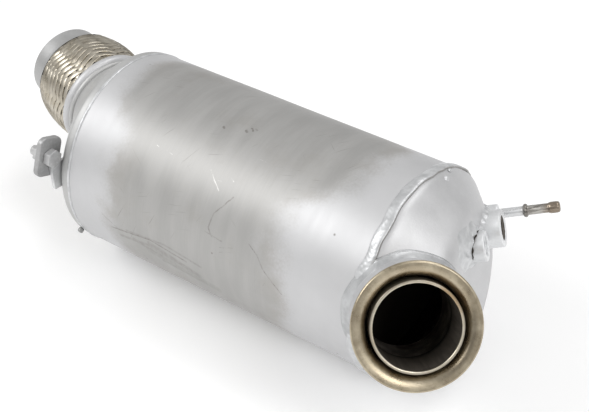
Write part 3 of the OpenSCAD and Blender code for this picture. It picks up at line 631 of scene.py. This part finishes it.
PAINT = spray_paint("silver_spray_on_pressed_steel")
DOME_PAINT = spray_paint("silver_spray_on_sooted_dome", sooted=True)
CONE_PAINT = spray_paint("silver_spray_on_cone", light="#c3c3c2", dark="#b5b5b4")
WELD = weld_metal("silver_spray_on_weld_metal")
# painted shade: a darker copy of the weld's spray for the weld round the inlet neck
SHADED_NECK_WELD = weld_metal("silver_spray_on_neck_weld", "#c2c3c4", "#adaeaf")
# painted light: the bosses' spray is lighter than the can's, standing in for light from the front
LIT_BOSS_PAINT = spray_paint("silver_spray_on_turned_steel", light="#eeeff0", dark="#dadbdc", rough=0.45, peel=1.4, sooted=True)
# painted light: the bracket lug's spray is a lighter copy of the same silver
LIT_BRACKET_PAINT = spray_paint("silver_spray_on_bracket", light="#dcdddd", dark="#bcbdbe", rough=0.45, peel=1.2)
CAN_STEEL = can_steel("brushed_stainless_with_silver_spray")
# the flange has painted shade on its lower right side as seen from the camera
FLANGE_STEEL = tinted_steel("heat_tinted_stainless", "#cabfa8", "#9d907a", 0.32, 0.3, (0.87, 0.32, -0.37))
LINER_STEEL = liner_steel("sooted_stainless_pipe")
SLEEVE_STEEL = tinted_steel("sooted_stainless_sleeve", "#c9c2b9", "#756e67", 0.45)
WIRE = braid_wire("drawn_stainless_wire")
FOLDED = tinted_steel("formed_stainless_bellows", "#8f8a80", "#5f5a52", 0.35)
CAP_STEEL = spray_paint("silver_spray_on_end_cap", light="#bababa", dark="#a8a8a7", rough=0.45)
PIPE_STEEL = pipe_steel("drawn_steel_pipe")
# dark oxide for the weld's undercut; the same dark steel makes the painted shadow ring at the braid's far end
OXIDE_AND_SHADOW = tinted_steel("weld_oxide", "#4a4540", "#2c2825", 0.5)
# painted light and shade: the bolt and nut get a lighter copy of the spray and the plate a darker one
LIT_BOLT_PAINT = spray_paint("silver_spray_on_zinc_bolt", light="#d6d6d6", dark="#a9a9a9", rough=0.4, peel=1.5)
SHADED_PLATE_PAINT = spray_paint("silver_spray_on_cut_plate", light="#bcbcbc", dark="#8f8f8f", rough=0.42, peel=2.0)
PIN_STEEL = spray_paint("silver_spray_on_pin", light="#a6a6a5", dark="#8b8b8a", rough=0.45, peel=1.2)


# Dome


def dome_support(n):
    """Farthest points of the two forms that the dome is stretched over, and how much farther the ring's is.

    n holds directions in the can's frame. The first form is the skirt's edge, a circle of the can's radius;
    the second is the rounded end ring, a circle in the slanted end's frame swollen by the rounding radius.
    """
    turned = END[:3, :3]
    local = n @ turned
    bearing = local[..., 1:] / np.maximum(np.linalg.norm(local[..., 1:], axis=-1, keepdims=True), 1e-9)
    ring = np.concatenate([0 * bearing[..., :1], RING_R * bearing], -1) @ turned.T + END[:3, 3] - CAN[:3, 3]
    out = n[..., 1:] / np.maximum(np.linalg.norm(n[..., 1:], axis=-1, keepdims=True), 1e-9)
    edge = np.concatenate([0 * out[..., :1] + SEAM + SKIRT, CAN_R * out], -1)
    return edge, ring, np.einsum("...k,...k", n, ring) + ROUND - np.einsum("...k,...k", n, edge)


def dome_rows(cols, inset):
    """Rows of the dome's outside, set in by inset: flat end, rounded ring, straight flank and skirt.

    Each column leaves the end ring at one bearing. It follows the ring's round until its direction supports the
    skirt's edge as well, then a straight line to that edge, and then the skirt. The rows are then smoothed.
    """
    a = around(cols)

    def direction(t):
        """Directions that lean t from the end's axis, each towards its column's bearing."""
        local = np.stack([np.cos(t), np.sin(t) * np.cos(a), np.sin(t) * np.sin(a)], -1)
        return local @ END[:3, :3].T

    lean = largest(lambda t: dome_support(direction(t))[2] > 0, np.full(cols, math.pi / 2))
    n = direction(lean)
    edge = dome_support(n)[0]
    edge = edge - np.concatenate([0 * n[..., :1], inset * edge[..., 1:] / CAN_R], -1)
    axis, ring = END[:3, 0], dome_support(direction(np.full(cols, 1e-3)))[1]
    middle = END[:3, 3] - CAN[:3, 3]
    face = [middle + s * (ring - middle) + (ROUND - inset) * axis for s in np.linspace(0.06, 0.97, 26)]
    round_ = [ring + (ROUND - inset) * direction(lean * s) for s in np.linspace(0, 1, 20)]
    touch = round_[-1]
    flank = [touch + s * (edge - touch) for s in np.linspace(0, 1, 40)[1:]]
    skirt = [edge - np.array([s, 0, 0]) for s in np.linspace(0, SKIRT, 7)[1:]]
    return smoothed(np.stack(face + round_ + flank + skirt), 14), middle + (ROUND - inset) * axis


def directions(count, rim):
    """Directions spread evenly over the half sphere towards +X by the golden angle, and some round its rim."""
    k = np.arange(count) + 0.5
    x = k / count
    a = k * math.pi * (3 - math.sqrt(5))
    r = np.sqrt(1 - x * x)
    edge = np.arange(rim) * TAU / rim
    half = np.stack([x, r * np.cos(a), r * np.sin(a)], -1)
    return np.concatenate([half, np.stack([np.zeros(rim), np.cos(edge), np.sin(edge)], -1)])


_n = directions(16000, 720)
_edge, _, _farther = dome_support(_n)
_reach = np.einsum("ij,ij->i", _n, _edge) + np.maximum(_farther, 0)


def height_over_dome(place, x, y):
    """Height along a local Z at which the line through x and y leaves the dome or the can behind it."""
    lean = _n @ place[:3, 2]
    ok = lean > 0.04
    foot = moved(place, np.stack([x, y, 0 * x], -1)).reshape(-1, 3) - CAN[:3, 3]
    return ((_reach[ok] - foot @ _n[ok].T) / lean[ok]).min(1).reshape(x.shape)


def plug(place, radius, low, high):
    """A plain round solid that cuts a hole."""
    grid = revolved(np.array([[radius, low], [radius, high]]), 96)
    return link("plug", surface("plug", grid, place, start=(0, 0, low), end=(0, 0, high)))


def cut(obj, plugs):
    """Takes plug solids out of a piece and removes them."""
    for solid in plugs:
        m = obj.modifiers.new("cut", "BOOLEAN")
        m.operation, m.solver, m.object = "DIFFERENCE", "EXACT", solid
    bpy.context.view_layer.update()
    made = bpy.data.meshes.new_from_object(obj.evaluated_get(bpy.context.evaluated_depsgraph_get()))
    obj.modifiers.clear()
    obj.data = made
    for solid in plugs:
        bpy.data.objects.remove(solid)


# the pressed sheet is a little uneven between its tip and the seam
outer, tip = dome_rows(360, 0.0)
inner, inner_tip = dome_rows(360, DOME_T)
inner = inner[::-4]
press = 0.12 * lumps(np.arctan2(outer[..., 2], outer[..., 1]), outer[..., 0], (1, 7), (0.004, 0.02), 3)
rise, fall = np.linspace(0, 1, len(outer))[:, None], np.linspace(1, 0, len(outer))[:, None]
outer[..., 1:] *= (1 + press * rise * fall * 4 / CAN_R)[..., None]
dome = skin(
    "inlet_dome_skin",
    np.concatenate([outer, inner]),
    CAN,
    DOME_PAINT,
    "sprayed_steel",
    ["inlet_dome"],
    v_mm=np.concatenate([np.zeros(len(outer)), np.full(len(inner), INSIDE)]),
    start=tip,
    end=inner_tip,
)
holes = ((INLET, NECK_R - 0.8, -80, 0), (GAS, 10.5, -12, 10), (TEMP, 8.2, -12, 8), (PRESSURE, 5.0, -26, 2))
cut(dome, [plug(*hole) for hole in holes])


# Can and its welds

a = around(288)
x = np.linspace(RIM, SEAM, 140)[:, None]
r = CAN_R + 0.10 * lumps(a, x, (2, 9), (0.002, 0.012), 11) * np.sin((x - RIM) / (SEAM - RIM) * math.pi) - 0.1
bore = revolved(np.array([[CAN_R - SHELL_T, SEAM], [CAN_R - SHELL_T, RIM]]), 288)
skin(
    "canister_skin",
    np.concatenate([polar(r, a, x), bore]),
    CAN_Z,
    CAN_STEEL,
    "bare_steel",
    ["canister_shell"],
    u_mm=TAU * CAN_R,
    v_mm=np.concatenate([x[:, 0], [INSIDE, INSIDE]]),
    ring=True,
)


def bead(name, at, outline, wander, seed, toes, replaces, swell=0.10, ripple=0.03):
    """A weld run round the can: an outline of offset and height that wanders along the can and swells round it.

    toes is 1 where the run's far side gets a dark toe of bare steel and painted shade, and 0 where it doesn't.
    """
    a = around(720)
    off, high = outline[:, 0, None], outline[:, 1, None]
    size = 1 + swell * lumps(a, 0 * a, (6, 40), (0, 0), seed)
    x = off * size + wander * lumps(a, 0 * a, (3, 22), (0, 0), seed + 1)
    top = np.clip(high, 0, None)
    h = np.clip(high, None, 0) + top * (1 + 0.8 * swell * lumps(a, off, (10, 60), (0.05, 0.2), seed + 2))
    h = h + ripple * top * np.sin(150 * a + 1.2 * np.abs(off) + 2.0 * lumps(a, 0 * a, (3, 30), (0, 0), seed + 3))
    share = np.clip(toes * outline[:, 0] / outline[:, 0].max(), 0, 1)
    grid = polar(CAN_R + h, a, at + x)
    skin(name, grid, CAN_Z, WELD, "weld_bead", replaces, ring=True, u_mm=TAU * CAN_R, v_mm=share)


run = [(-4.5, -0.1), (-4.0, 0.6), (-2.2, 1.25), (0.4, 1.6), (2.6, 1.5), (3.8, 0.9), (4.0, -0.4)]
run += [(0.0, -0.9), (-4.2, -0.9)]
bead("inlet_seam_weld_bead", SEAM + 0.4, rounded(run, 0.9, 4), 0.75, 21, 1.0, ["inlet_seam_weld"])
thin = [(-1.3, 0.0), (-0.7, 0.45), (0.0, 0.6), (0.7, 0.45), (1.3, 0.0), (1.0, -0.5), (-1.0, -0.5)]
bead("outlet_seam_weld_bead", RIM - 0.2, rounded(thin, 0.5, 4), 0.15, 31, 0.0, ["outlet_seam_weld"])


def drop(name, at, normal, radius, height, sunk=-0.8):
    """Weld spatter: a drop whose height falls off as the square of the distance from its middle."""
    up = np.array(normal, float) / np.linalg.norm(normal)
    side = np.cross(up, (0.0, 1.0, 0.0))
    side = side / np.linalg.norm(side)
    place = np.eye(4)
    place[:3, :3], place[:3, 3] = np.stack([side, np.cross(up, side), up], -1), at
    s = np.linspace(0.08, 1, 12)
    half = np.stack([radius * s, height * (1 - s * s)], -1)
    outline = np.concatenate([half, [[radius, sunk], [0.3, sunk]]])
    grid = revolved(outline, 40) * np.array([1.0, 1.25, 1.0])
    form = {"start": (0, 0, height), "end": (0, 0, sunk), "v_mm": 0 * outline[:, 0]}
    skin(name, grid, CAN @ place, WELD, "weld_bead", **form)


drop("seam_weld_spatter", (139.3, 17.2, 72.2), (0.658, 0.191, 0.728), 2.4, 1.5)
drop("seam_weld_spatter_small", (136.5, 26.0, 73.0), (0.55, 0.3, 0.78), 1.4, 0.9)


# Inlet pipe

# neck: straight up from the dome, then drawn in over a quarter of an ellipse to the flange's cuff
a = around(200)
low = height_over_dome(INLET, NECK_R * np.cos(a), NECK_R * np.sin(a)) - 5.0
cuff_end = -BELL_R - CUFF
bend = np.linspace(0, math.pi / 2, 14)[:, None]
straight = np.linspace(0, 1, 14)[:-1, None]
narrowed = (NECK_R - (BELL_C - BELL_R + FLANGE_T)) * (1 - np.cos(bend))
shaft = low + straight * (cuff_end - SHOULDER - low)
z = np.concatenate(
    [
        shaft,
        cuff_end - SHOULDER * (1 - np.sin(bend)) + 0 * a,
        (cuff_end - SHOULDER + (SHOULDER - NECK_T) * np.sin(bend) + 0 * a)[::-1],
        shaft[::-2],
    ]
)
inner_r = NECK_R - NECK_T
level = 0 * straight
r = np.concatenate([NECK_R + level, NECK_R - narrowed, (inner_r - narrowed)[::-1], (inner_r + level)[::-2]])
mark = np.where(np.arange(len(r)) < len(straight) + len(bend), 0.0, INSIDE)
skin("inlet_neck_tube", polar(r, a, z), INLET, DOME_PAINT, "sprayed_steel", ["inlet_neck"], ring=True, v_mm=mark)

# flange: a face that is a quarter of a superellipse, a half-round edge, a quarter-round back and a cuff
q = np.linspace(0, 1, 30)
quarter, half = q * math.pi / 2, q * math.pi
full = BELL_R / (np.cos(quarter) ** BELL_FULL + np.sin(quarter) ** BELL_FULL) ** (1 / BELL_FULL)
inward = full * np.cos(quarter)
back_r = BELL_R - FLANGE_T
face = np.stack([BELL_C - inward, -BELL_R + full * np.sin(quarter) - BELL_LEAN * inward], -1)
edge = np.stack([BELL_C + FLANGE_T / 2 * np.sin(half), -FLANGE_T / 2 + FLANGE_T / 2 * np.cos(half)], -1)
back = np.stack([BELL_C - back_r * np.sin(quarter), -BELL_R + back_r * np.cos(quarter)], -1)
cuff = np.array([[BELL_C - BELL_R + FLANGE_T, cuff_end], [BELL_C - BELL_R, cuff_end]])
bell = refined(np.concatenate([face[:-1], edge[:-1], back, cuff]), 0.9)
bell_v = np.arange(len(bell)) * 0.8
spun("inlet_flange_bell", bell, 220, INLET, FLANGE_STEEL, "tinted_flange", ["inlet_flange"], bell_v)

# inner pipe with its seat ring: its outside gets part of the lip's wear colour, and its inner end the same colour as a
# painted glint
wall_r, seat_r = LINER_R + LINER_T, NECK_R - NECK_T - FIT
pipe = [
    *((LINER_R, -LINER_LEN), (wall_r, -LINER_LEN), (wall_r, -SEAT - 8), (seat_r, -SEAT - 8)),
    *((seat_r, -SEAT - 3), (wall_r, -SEAT), (wall_r, LIP), (LINER_R, LIP)),
]
pipe = refined(rounded(pipe, [0.8, 0.8, 0.3, 0.5, 1.0, 1.0, 0.7, 0.7]), 1.5)
worn_and_glint = (pipe[:, 0] > LINER_R + 0.5 * LINER_T) | (pipe[:, 1] < 0.4 - LINER_LEN)
pipe_v = np.where(worn_and_glint, -1.6, pipe[:, 1])
spun("inlet_liner_tube", pipe, 180, INLET, LINER_STEEL, "sooted_liner", ["inlet_liner"], pipe_v)

# sooted sleeve beyond the inner pipe, set back a little behind its wall
sleeve_r, sleeve_top = LINER_R + 0.3, -LINER_LEN - 0.3
deep = [(sleeve_r, SLEEVE_END), (LINER_R + 1.8, SLEEVE_END), (LINER_R + 1.8, sleeve_top), (sleeve_r, sleeve_top)]
spun("inlet_deep_sleeve", refined(rounded(deep, 0.4, 4), 1.5), 150, INLET, SLEEVE_STEEL, "sooted_liner")


# Bosses


def boss(name, place, node, radius, hole, height, soot, tail=5.0, pitch=1.5, chamfer=1.1, depth=0.5):
    """A turned boss with rounded edges and a threaded hole: the hole's wall is a ridge that climbs one pitch a turn.

    The hole is sooted if soot is 1.
    """
    corners = [(radius, -tail), (radius, height), (hole + chamfer, height), (hole, height - chamfer), (hole, -tail)]
    steps = 7
    body = rounded(corners, [0.3, 1.0, 0.3, 0.01, 0.3], steps)
    body = refined(body[: 3 * steps], 1.2, closed=False)
    wall = np.linspace(height - 1.0, -tail, int((height + tail) / pitch * 10))
    outline = np.concatenate([body, np.stack([0 * wall + hole, wall], -1)])
    grid = revolved(outline, 96)
    z = wall[:, None]
    turns = z / pitch - around(96) / TAU
    ridge = depth * np.abs(2 * (turns - np.floor(turns)) - 1) * np.clip((z + tail) / 2, 0, 1)
    grid[len(body) :, :, :2] *= ((hole + ridge) / hole)[..., None]
    mark = np.where(np.arange(len(outline)) < len(body), 0.0, INSIDE * soot)
    skin(name, grid, place, LIT_BOSS_PAINT, "boss_steel", [node], ring=True, v_mm=mark)


boss("gas_sensor_boss_turned", GAS, "gas_sensor_boss", radius=13.25, hole=8.2, height=12.0, soot=1)
boss("temperature_sensor_boss_turned", TEMP, "temperature_sensor_boss", radius=10.5, hole=6.2, height=9.0, soot=0)
seat = refined(rounded([(7.0, PIPE_FOOT), (7.0, 0.0), (3.5, 0.0), (3.5, PIPE_FOOT)], [0.3, 1.2, 0.5, 0.3]), 1.2)
unmarked = 0 * seat[:, 1]
spun("pressure_pipe_boss_turned", seat, 72, PRESSURE, LIT_BOSS_PAINT, "boss_steel", ["pressure_pipe_boss"], unmarked)

# pressure pipe: a half-round stop ring, a swaged bulb and a rolled-in tip
q = np.linspace(0, math.pi, 15)
stop = np.stack([3.6 + 1.2 * np.sin(q), PIPE_STOP - 1.5 * np.cos(q)], -1)
bulb = np.stack([PIPE_R + 0.7 * np.sin(q / 2), 34.8 + 2.6 * (q / math.pi)], -1)
tip = [[4.1, 40.8], [3.9, 42.0], [3.5, 42.8], [3.0, 43.0], [2.4, 42.8], [PIPE_BORE, 42.3], [PIPE_BORE, PIPE_FOOT]]
nipple = np.concatenate([[[PIPE_R, PIPE_FOOT], [PIPE_R, 17.2]], stop, [[PIPE_R, 20.8]], bulb, tip])
spun("pressure_pipe_drawn", refined(nipple, 1.0), 64, PRESSURE, PIPE_STEEL, "pipe_steel", ["pressure_pipe"])


def fillet(
    name, place, radius, width, height, seed, lean=0.0, toward=0.0, uneven=1.0, ridge=0.0, metal=WELD, replaces=()
):
    """Weld metal heaped round a boss: it falls in a hollow curve from the boss's wall to the dome and lies uneven.

    The run is wider by the share lean on the side that faces the bearing toward. A ridge of the given height
    stands near its toe.
    """
    a = around(220)
    side = np.clip(np.cos(a - toward), 0, None) ** 2
    wide = width * (1 + 0.22 * uneven * lumps(a, 0 * a, (3, 12), (0, 0), seed) + lean * side)
    s = np.linspace(0, 1, 30)[:, None]
    r = radius + wide * s
    ground = height_over_dome(place, r * np.cos(a), r * np.sin(a))
    arch = np.sin(s * math.pi)
    heap = height * (1 + 0.25 * uneven * lumps(a, 0 * a, (3, 14), (0, 0), seed + 1)) * (1 - s) ** 1.5
    heap = heap + 0.35 * uneven * lumps(a, r, (4, 22), (0.05, 0.16), seed + 2) * arch + 0.45 * arch**0.5
    heap = heap + ridge * np.exp(-(((s - 0.86) / 0.08) ** 2))
    top, under = polar(r, a, ground + heap - 0.25 * s), polar(r, a, ground - 1.2)[::-6]
    share = np.concatenate([0.85 * s[:, 0], np.ones(len(under))])
    skin(name, np.concatenate([top, under]), place, metal, "weld_bead", replaces, ring=True, v_mm=share)


fillet("inlet_neck_weld", INLET, NECK_R - 0.2, 5.0, 4.5, 41, uneven=0.25, ridge=0.7, metal=SHADED_NECK_WELD)
fillet("gas_sensor_boss_weld", GAS, 13.0, 3.2, 3.4, 51, replaces=["boss_welds"])
fillet("temperature_sensor_boss_weld", TEMP, 10.3, 3.6, 3.0, 61, lean=4.6, toward=3.5)
fillet("pressure_pipe_boss_weld", PRESSURE, 6.8, 2.4, 2.6, 71)

# unfilled undercut beside the small boss: a thin dark sliver along its foot, tapered at both ends
STEPS = 90
a = np.radians(np.linspace(128, 262, STEPS))
wide = 0.75 * np.sin(np.linspace(0, math.pi, STEPS)) ** 0.6 * (1 + 0.35 * np.sin(np.linspace(0, 31, STEPS)))
q = around(10)[None, :]
r = 11.6 + 0.5 * np.sin(4.1 * a) + 0.25 * np.sin(13 * a)
z = height_over_dome(TEMP, r * np.cos(a), r * np.sin(a)) + 2.75
r, z = r[:, None] + wide[:, None] * np.cos(q), z[:, None] + 0.9 * wide[:, None] * np.sin(q)
grid = polar(r, a[:, None], z)
skin("boss_weld_undercut", grid, TEMP, OXIDE_AND_SHADOW, "weld_bead", start=grid[0].mean(0), end=grid[-1].mean(0))


# Outlet cone

a = around(300)
neck_place = np.linalg.inv(CAN) @ OUTLET @ shift(0, 0, -2 * COLLAR_R)
neck_way, neck_mid, neck_rad = neck_place[:3, 2], neck_place[:3, 3], CUFF_R + BELLOWS_T + CONE_T


def can_circle(x, radius):
    """A circle round the can's axis, at x along it."""
    return np.stack([x + 0 * a, radius * np.cos(a), radius * np.sin(a)], -1)


def cone_pair(t):
    """Where directions that lean t from square to the can towards the outlet touch the rim's round and the neck."""
    n = np.stack([-np.sin(t), np.cos(t) * np.cos(a), np.cos(t) * np.sin(a)], -1)
    rim = can_circle(RIM - CONE_ROUND, CAN_R - CONE_ROUND) + CONE_ROUND * n
    flat = n - (n @ neck_way)[:, None] * neck_way
    throat = neck_mid + neck_rad * flat / np.linalg.norm(flat, axis=1, keepdims=True)
    return n, rim, throat, np.einsum("ij,ij->i", n, rim - throat)


# the skirt, the rim's round, and a flank that hollows a little on its way to the neck
lean = largest(lambda t: cone_pair(t)[3] > 0, np.full(300, math.pi / 2 - 0.02))
n, touch, throat, _ = cone_pair(lean)
skirt = [can_circle(s, CAN_R) for s in np.linspace(RIM, RIM - CONE_ROUND, 6)[:-1]]
round_ = [cone_pair(lean * s)[1] for s in np.linspace(0, 1, 10)]
flank = [touch + s * (throat - touch) - 9.0 * s * s * (1 - s) * n for s in np.linspace(0, 1, 44)[1:]]
outside = smoothed(np.stack(skirt + round_ + flank), 5)
spoke = outside - outside.mean(1, keepdims=True)
inside = (outside - CONE_T * spoke / np.linalg.norm(spoke, axis=-1, keepdims=True))[::-3]
cone = np.concatenate([outside, inside])
skin("outlet_cone_skin", cone, CAN, CONE_PAINT, "sprayed_steel", ["outlet_cone"], ring=True)


# Flexible pipe

q = np.linspace(-math.pi / 2, math.pi / 2, 40)
ring = np.stack([COLLAR_C + COLLAR_R * np.cos(q), -COLLAR_R + COLLAR_R * np.sin(q)], -1)
collar_bore = CUFF_R + BELLOWS_T + FIT
collar = refined(np.concatenate([ring, [[collar_bore, 0.0], [collar_bore, -2 * COLLAR_R]]]), 1.5)
spun("flex_collar_ring", collar, 180, OUTLET, PAINT, "sprayed_steel", ["flex_collar"])

# round run of weld between the cone and the collar
q = around(24)
run = np.stack([neck_rad + 1.5 + 2.5 * np.cos(q), -2 * COLLAR_R - 0.6 + 2.5 * np.sin(q)], -1)
grid = revolved(run, 240)
a = around(240)
grid[..., :2] *= (1 + 0.002 * lumps(a, 0 * a, (4, 20), (0, 0), 81))[None, :, None]
skin("flex_collar_weld", grid, OUTLET, CONE_PAINT, "weld_bead", ring=True, v_mm=0 * run[:, 1])

# heights beyond the braid's root: the end cap, a dark ring of painted shadow at the braid's far end, and the outlet
# stub
cap_end, stub_end, tail_r = BRAID_LEN + 9, BRAID_LEN + 21, TAIL_R + CAP_T + FIT
cap = [
    *((CAP_R, BRAID_LEN - 5), (CAP_R, BRAID_LEN + 3.2), (tail_r, BRAID_LEN + 6), (tail_r, cap_end)),
    *((TAIL_R + FIT, cap_end), (TAIL_R + FIT, BRAID_LEN + 5.5)),
    *((CAP_R - CAP_T, BRAID_LEN + 2.6), (CAP_R - CAP_T, BRAID_LEN - 5)),
]
cap = refined(rounded(cap, [0.3, 2.0, 1.5, 0.6, 0.3, 1.0, 1.0, 0.3]), 1.2)
spun("flex_end_cap_pressed", cap, 180, OUTLET, CAP_STEEL, "outlet_steel", ["flex_end_cap"])
# painted shadow: a thin dark ring where the braid's far end shades the cap
low, high, shadow_in, shadow_out = BRAID_LEN - 0.1, BRAID_LEN + 0.7, BRAID_2 - 1.2, BRAID_2 + 0.1
shadow_ring_outline = rounded([(shadow_in, low), (shadow_out, low), (shadow_out, high), (shadow_in, high)], 0.3, 4)
spun("flex_braid_end_shadow_ring", shadow_ring_outline, 180, OUTLET, OXIDE_AND_SHADOW, "braid_wire")
bore_r = OUTLET_R - 1.5
stub = [
    *((TAIL_R, BRAID_LEN + 6), (TAIL_R, cap_end), (OUTLET_R, cap_end)),
    *((OUTLET_R, stub_end), (bore_r, stub_end), (bore_r, BRAID_LEN + 6)),
]
stub = refined(rounded(stub, [0.2, 0.1, 0.2, 0.6, 0.6, 0.3]), 1.2)
spun("outlet_pipe_stub", stub, 180, OUTLET, CAP_STEEL, "outlet_steel", ["outlet_pipe"])

STRANDS, ROWS, STEPS, WIRES = 16, 8.0, 150, 5  # strands each way, crossings along, points along a strand, its wires
CROWN, WIRE_RELIEF, STRAND_T = 0.33, 0.12, 0.5  # rise of a strand's middle, of its wires, and its thickness
LIFT, SUNK, HALF_WIDTH = 0.40, 0.45, 0.435  # how far strands rise and fall, lie in the barrel, and share the pitch


def braid():
    """Two sets of flat strands that wind opposite ways round a barrel and pass over two and under two.

    The first parameter runs along a strand and the second round its section, a low crown of round wires.
    A strand's height over the barrel is a cosine of how many strands of the other set it has met. The grid's
    axes are the steps along, the strands and the section.
    """
    t = np.linspace(-0.03, 1.0, STEPS)[:, None, None]
    k = np.arange(STRANDS)[None, :, None]
    w = np.linspace(-1, 1, 2 * WIRES + 1)
    crown = CROWN * (1 - w**2) + np.where(np.arange(len(w)) % 2 == 1, WIRE_RELIEF, -WIRE_RELIEF)
    section = np.concatenate([np.stack([w, crown], -1), np.stack([w[::-5], 0 * w[::-5] - STRAND_T], -1)])
    step = TAU / STRANDS
    barrel = BRAID_0 * (1 - t) + BRAID_2 * t + 4 * (BRAID_1 - 0.5 * (BRAID_0 + BRAID_2)) * t * (1 - t)
    lead = math.atan2(BRAID_LEN, ROWS * step * BRAID_0)
    made = []
    for way in (1.0, -1.0):
        met = 2 * k + way * 2 * ROWS * t
        lift = way * LIFT * np.cos(math.pi / 2 * met - math.pi / 4)
        across = section[:, 0] * HALF_WIDTH * step * barrel * math.sin(lead)
        angle = (k + way * ROWS * t) * step - way * across * math.sin(lead) / barrel
        z = np.clip(t * BRAID_LEN + across * math.cos(lead), -1.2, BRAID_LEN - 0.12)
        made.append(polar(barrel - SUNK + lift + section[:, 1], angle, z))
    return np.concatenate(made, 1)


strands = braid().transpose(1, 0, 2, 3)
count, _, section, _ = strands.shape
points = moved(OUTLET, strands.reshape(-1, 3)) * MM
j = np.arange(STEPS - 1)[:, None]
i = np.arange(section)[None, :]
n = (i + 1) % section
one = np.stack([(j + 1) * section + i, (j + 1) * section + n, j * section + n, j * section + i], -1).reshape(-1, 4)
first = np.arange(count)[:, None] * STEPS * section
walls = (first[..., None] + one).reshape(-1, 4)
ends = first + np.arange(section)
tails = first + (STEPS - 1) * section + np.arange(section)[::-1]
mesh = bpy.data.meshes.new("flex_braid_strands")
mesh.from_pydata(points, [], walls.tolist() + ends.tolist() + tails.tolist())
mesh.polygons.foreach_set("use_smooth", np.ones(len(mesh.polygons), bool))
index = np.empty(len(mesh.loops), np.int32)
mesh.loops.foreach_get("vertex_index", index)
strand, along = np.divmod(index, STEPS * section)
uv = np.stack([(index % section) * 0.4 + strand * 7.0, (along // section) * 0.9], -1)
mesh.uv_layers.new(name="millimetres").uv.foreach_set("vector", uv.astype(np.float32).ravel())
mesh.update()
piece("flex_braid_strands", mesh, WIRE, ["flex_braid"])


# Carried-over CAD nodes


def eased(name, node, width, material):
    """A copy of a CAD node with its loose triangles joined and its sharp edges rounded by a width in metres."""
    joined = bmesh.new()
    joined.from_mesh(nodes[node].data)
    bmesh.ops.remove_doubles(joined, verts=joined.verts, dist=2e-6)
    bmesh.ops.dissolve_limit(joined, angle_limit=math.radians(1), verts=joined.verts, edges=joined.edges)
    mesh = bpy.data.meshes.new(name)
    joined.to_mesh(mesh)
    joined.free()
    edge = piece(name, mesh, material, [node]).modifiers.new("eased_edges", "BEVEL")
    edge.width, edge.segments, edge.limit_method, edge.angle_limit = width, 3, "ANGLE", math.radians(35)


eased("bracket_lug_cut", "bracket_lug", 0.0005, LIT_BRACKET_PAINT)
eased("bracket_plate_cut", "bracket_plate", 0.0009, SHADED_PLATE_PAINT)
eased("bracket_bolt_headed", "bracket_bolt", 0.0007, LIT_BOLT_PAINT)
eased("bracket_nut_chamfered", "bracket_nut", 0.0006, LIT_BOLT_PAINT)
eased("locating_pin_rounded", "locating_pin", 0.0012, PIN_STEEL)

KEPT = {
    "flex_bellows": FOLDED,
    "flex_liner": FOLDED,
    "catalyst_brick": ceramic("sooted_cordierite_catalyst", "#3a332b", "#241f1a"),
    "filter_brick": ceramic("silicon_carbide_filter", "#5d5d60", "#454548"),
    "catalyst_mat": ceramic("fibre_mat", "#dcd9d2", "#c2beb5"),
    "filter_mat": ceramic("fibre_mat_filter", "#dcd9d2", "#c2beb5"),
}
for name, material in KEPT.items():
    nodes[name].data.materials.clear()
    nodes[name].data.materials.append(material)


# Floor, light and camera


@finish
def studio_board(put, obj, _):
    """Matt pale board, painted: almost even, with clouds of 330 mm and a faint light of its own."""
    cloud = put("TexNoise", {"Vector": obj, "Scale": per_metre(333.0), "Detail": 3.0})
    return {
        "Base Color": put("Mix", {0: cloud, 6: srgb("#f4f4f4"), 7: srgb("#f8f8f8")}),
        "Roughness": 0.9,
        "Emission Color": (1.0, 1.0, 1.0, 1.0),
        "Emission Strength": 0.12,
    }


mesh = bpy.data.meshes.new("floor")
mesh.from_pydata([(-6, -6, 0), (6, -6, 0), (6, 6, 0), (-6, 6, 0)], [], [(0, 1, 2, 3)])
mesh.materials.append(studio_board("pale_floor"))
floor = link("floor", mesh)
floor.location = (0, 0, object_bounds()[0][2] - 0.0003)

world = bpy.data.worlds.new("studio")
bpy.context.scene.world = world
world.use_nodes = True
world.node_tree.nodes["Background"].inputs[0].default_value = (1.0, 1.0, 1.0, 1.0)
world.node_tree.nodes["Background"].inputs[1].default_value = 0.58


def softbox(name, toward, distance, size, power):
    """A rectangular light that faces the middle of the can from a direction."""
    data = bpy.data.lights.new(name, "AREA")
    data.shape, data.size, data.size_y, data.energy = "RECTANGLE", size[0], size[1], power
    way = np.array(toward, float) / np.linalg.norm(toward)
    side = np.cross((0.0, 0.0, 1.0), way)
    side = side / np.linalg.norm(side)
    m = np.eye(4)
    m[:3, :3], m[:3, 3] = np.stack([side, np.cross(way, side), way], -1), CAN[:3, 3] * MM + way * distance
    link(name, data).matrix_world = Matrix(m.tolist())


softbox("key", (-0.46, -0.565, 0.67), 1.7, (1.4, 0.55), 12.0)
softbox("side", (0.735, -0.18, 0.655), 1.7, (0.7, 0.7), 6.5)
softbox("top", (0.2, 0.32, 0.93), 2.0, (0.9, 0.9), 8.0)

SENSOR, FOCAL_PX, PHOTO_PX = 36.0, 1300.0, 589.0  # sensor's width in mm, the fitted focal length and the photo's width
lens = bpy.data.cameras.new("camera")
lens.sensor_fit, lens.sensor_width, lens.lens = "HORIZONTAL", SENSOR, SENSOR * FOCAL_PX / PHOTO_PX
lens.clip_start, lens.clip_end = 0.05, 50.0
camera = link("camera", lens)
m = np.eye(4)
m[:3, 0], m[:3, 1], m[:3, 2] = (0.8008, 0.5989, 0.0), (-0.35, 0.4679, 0.8115), (0.486, -0.6499, 0.5843)
m[:3, 3] = np.array((487.4, -618.5, 565.9)) * MM + CAN[:3, 3] * MM
camera.matrix_world = Matrix(m.tolist())
bpy.context.scene.camera = camera
bpy.context.scene.view_settings.view_transform = "Standard"
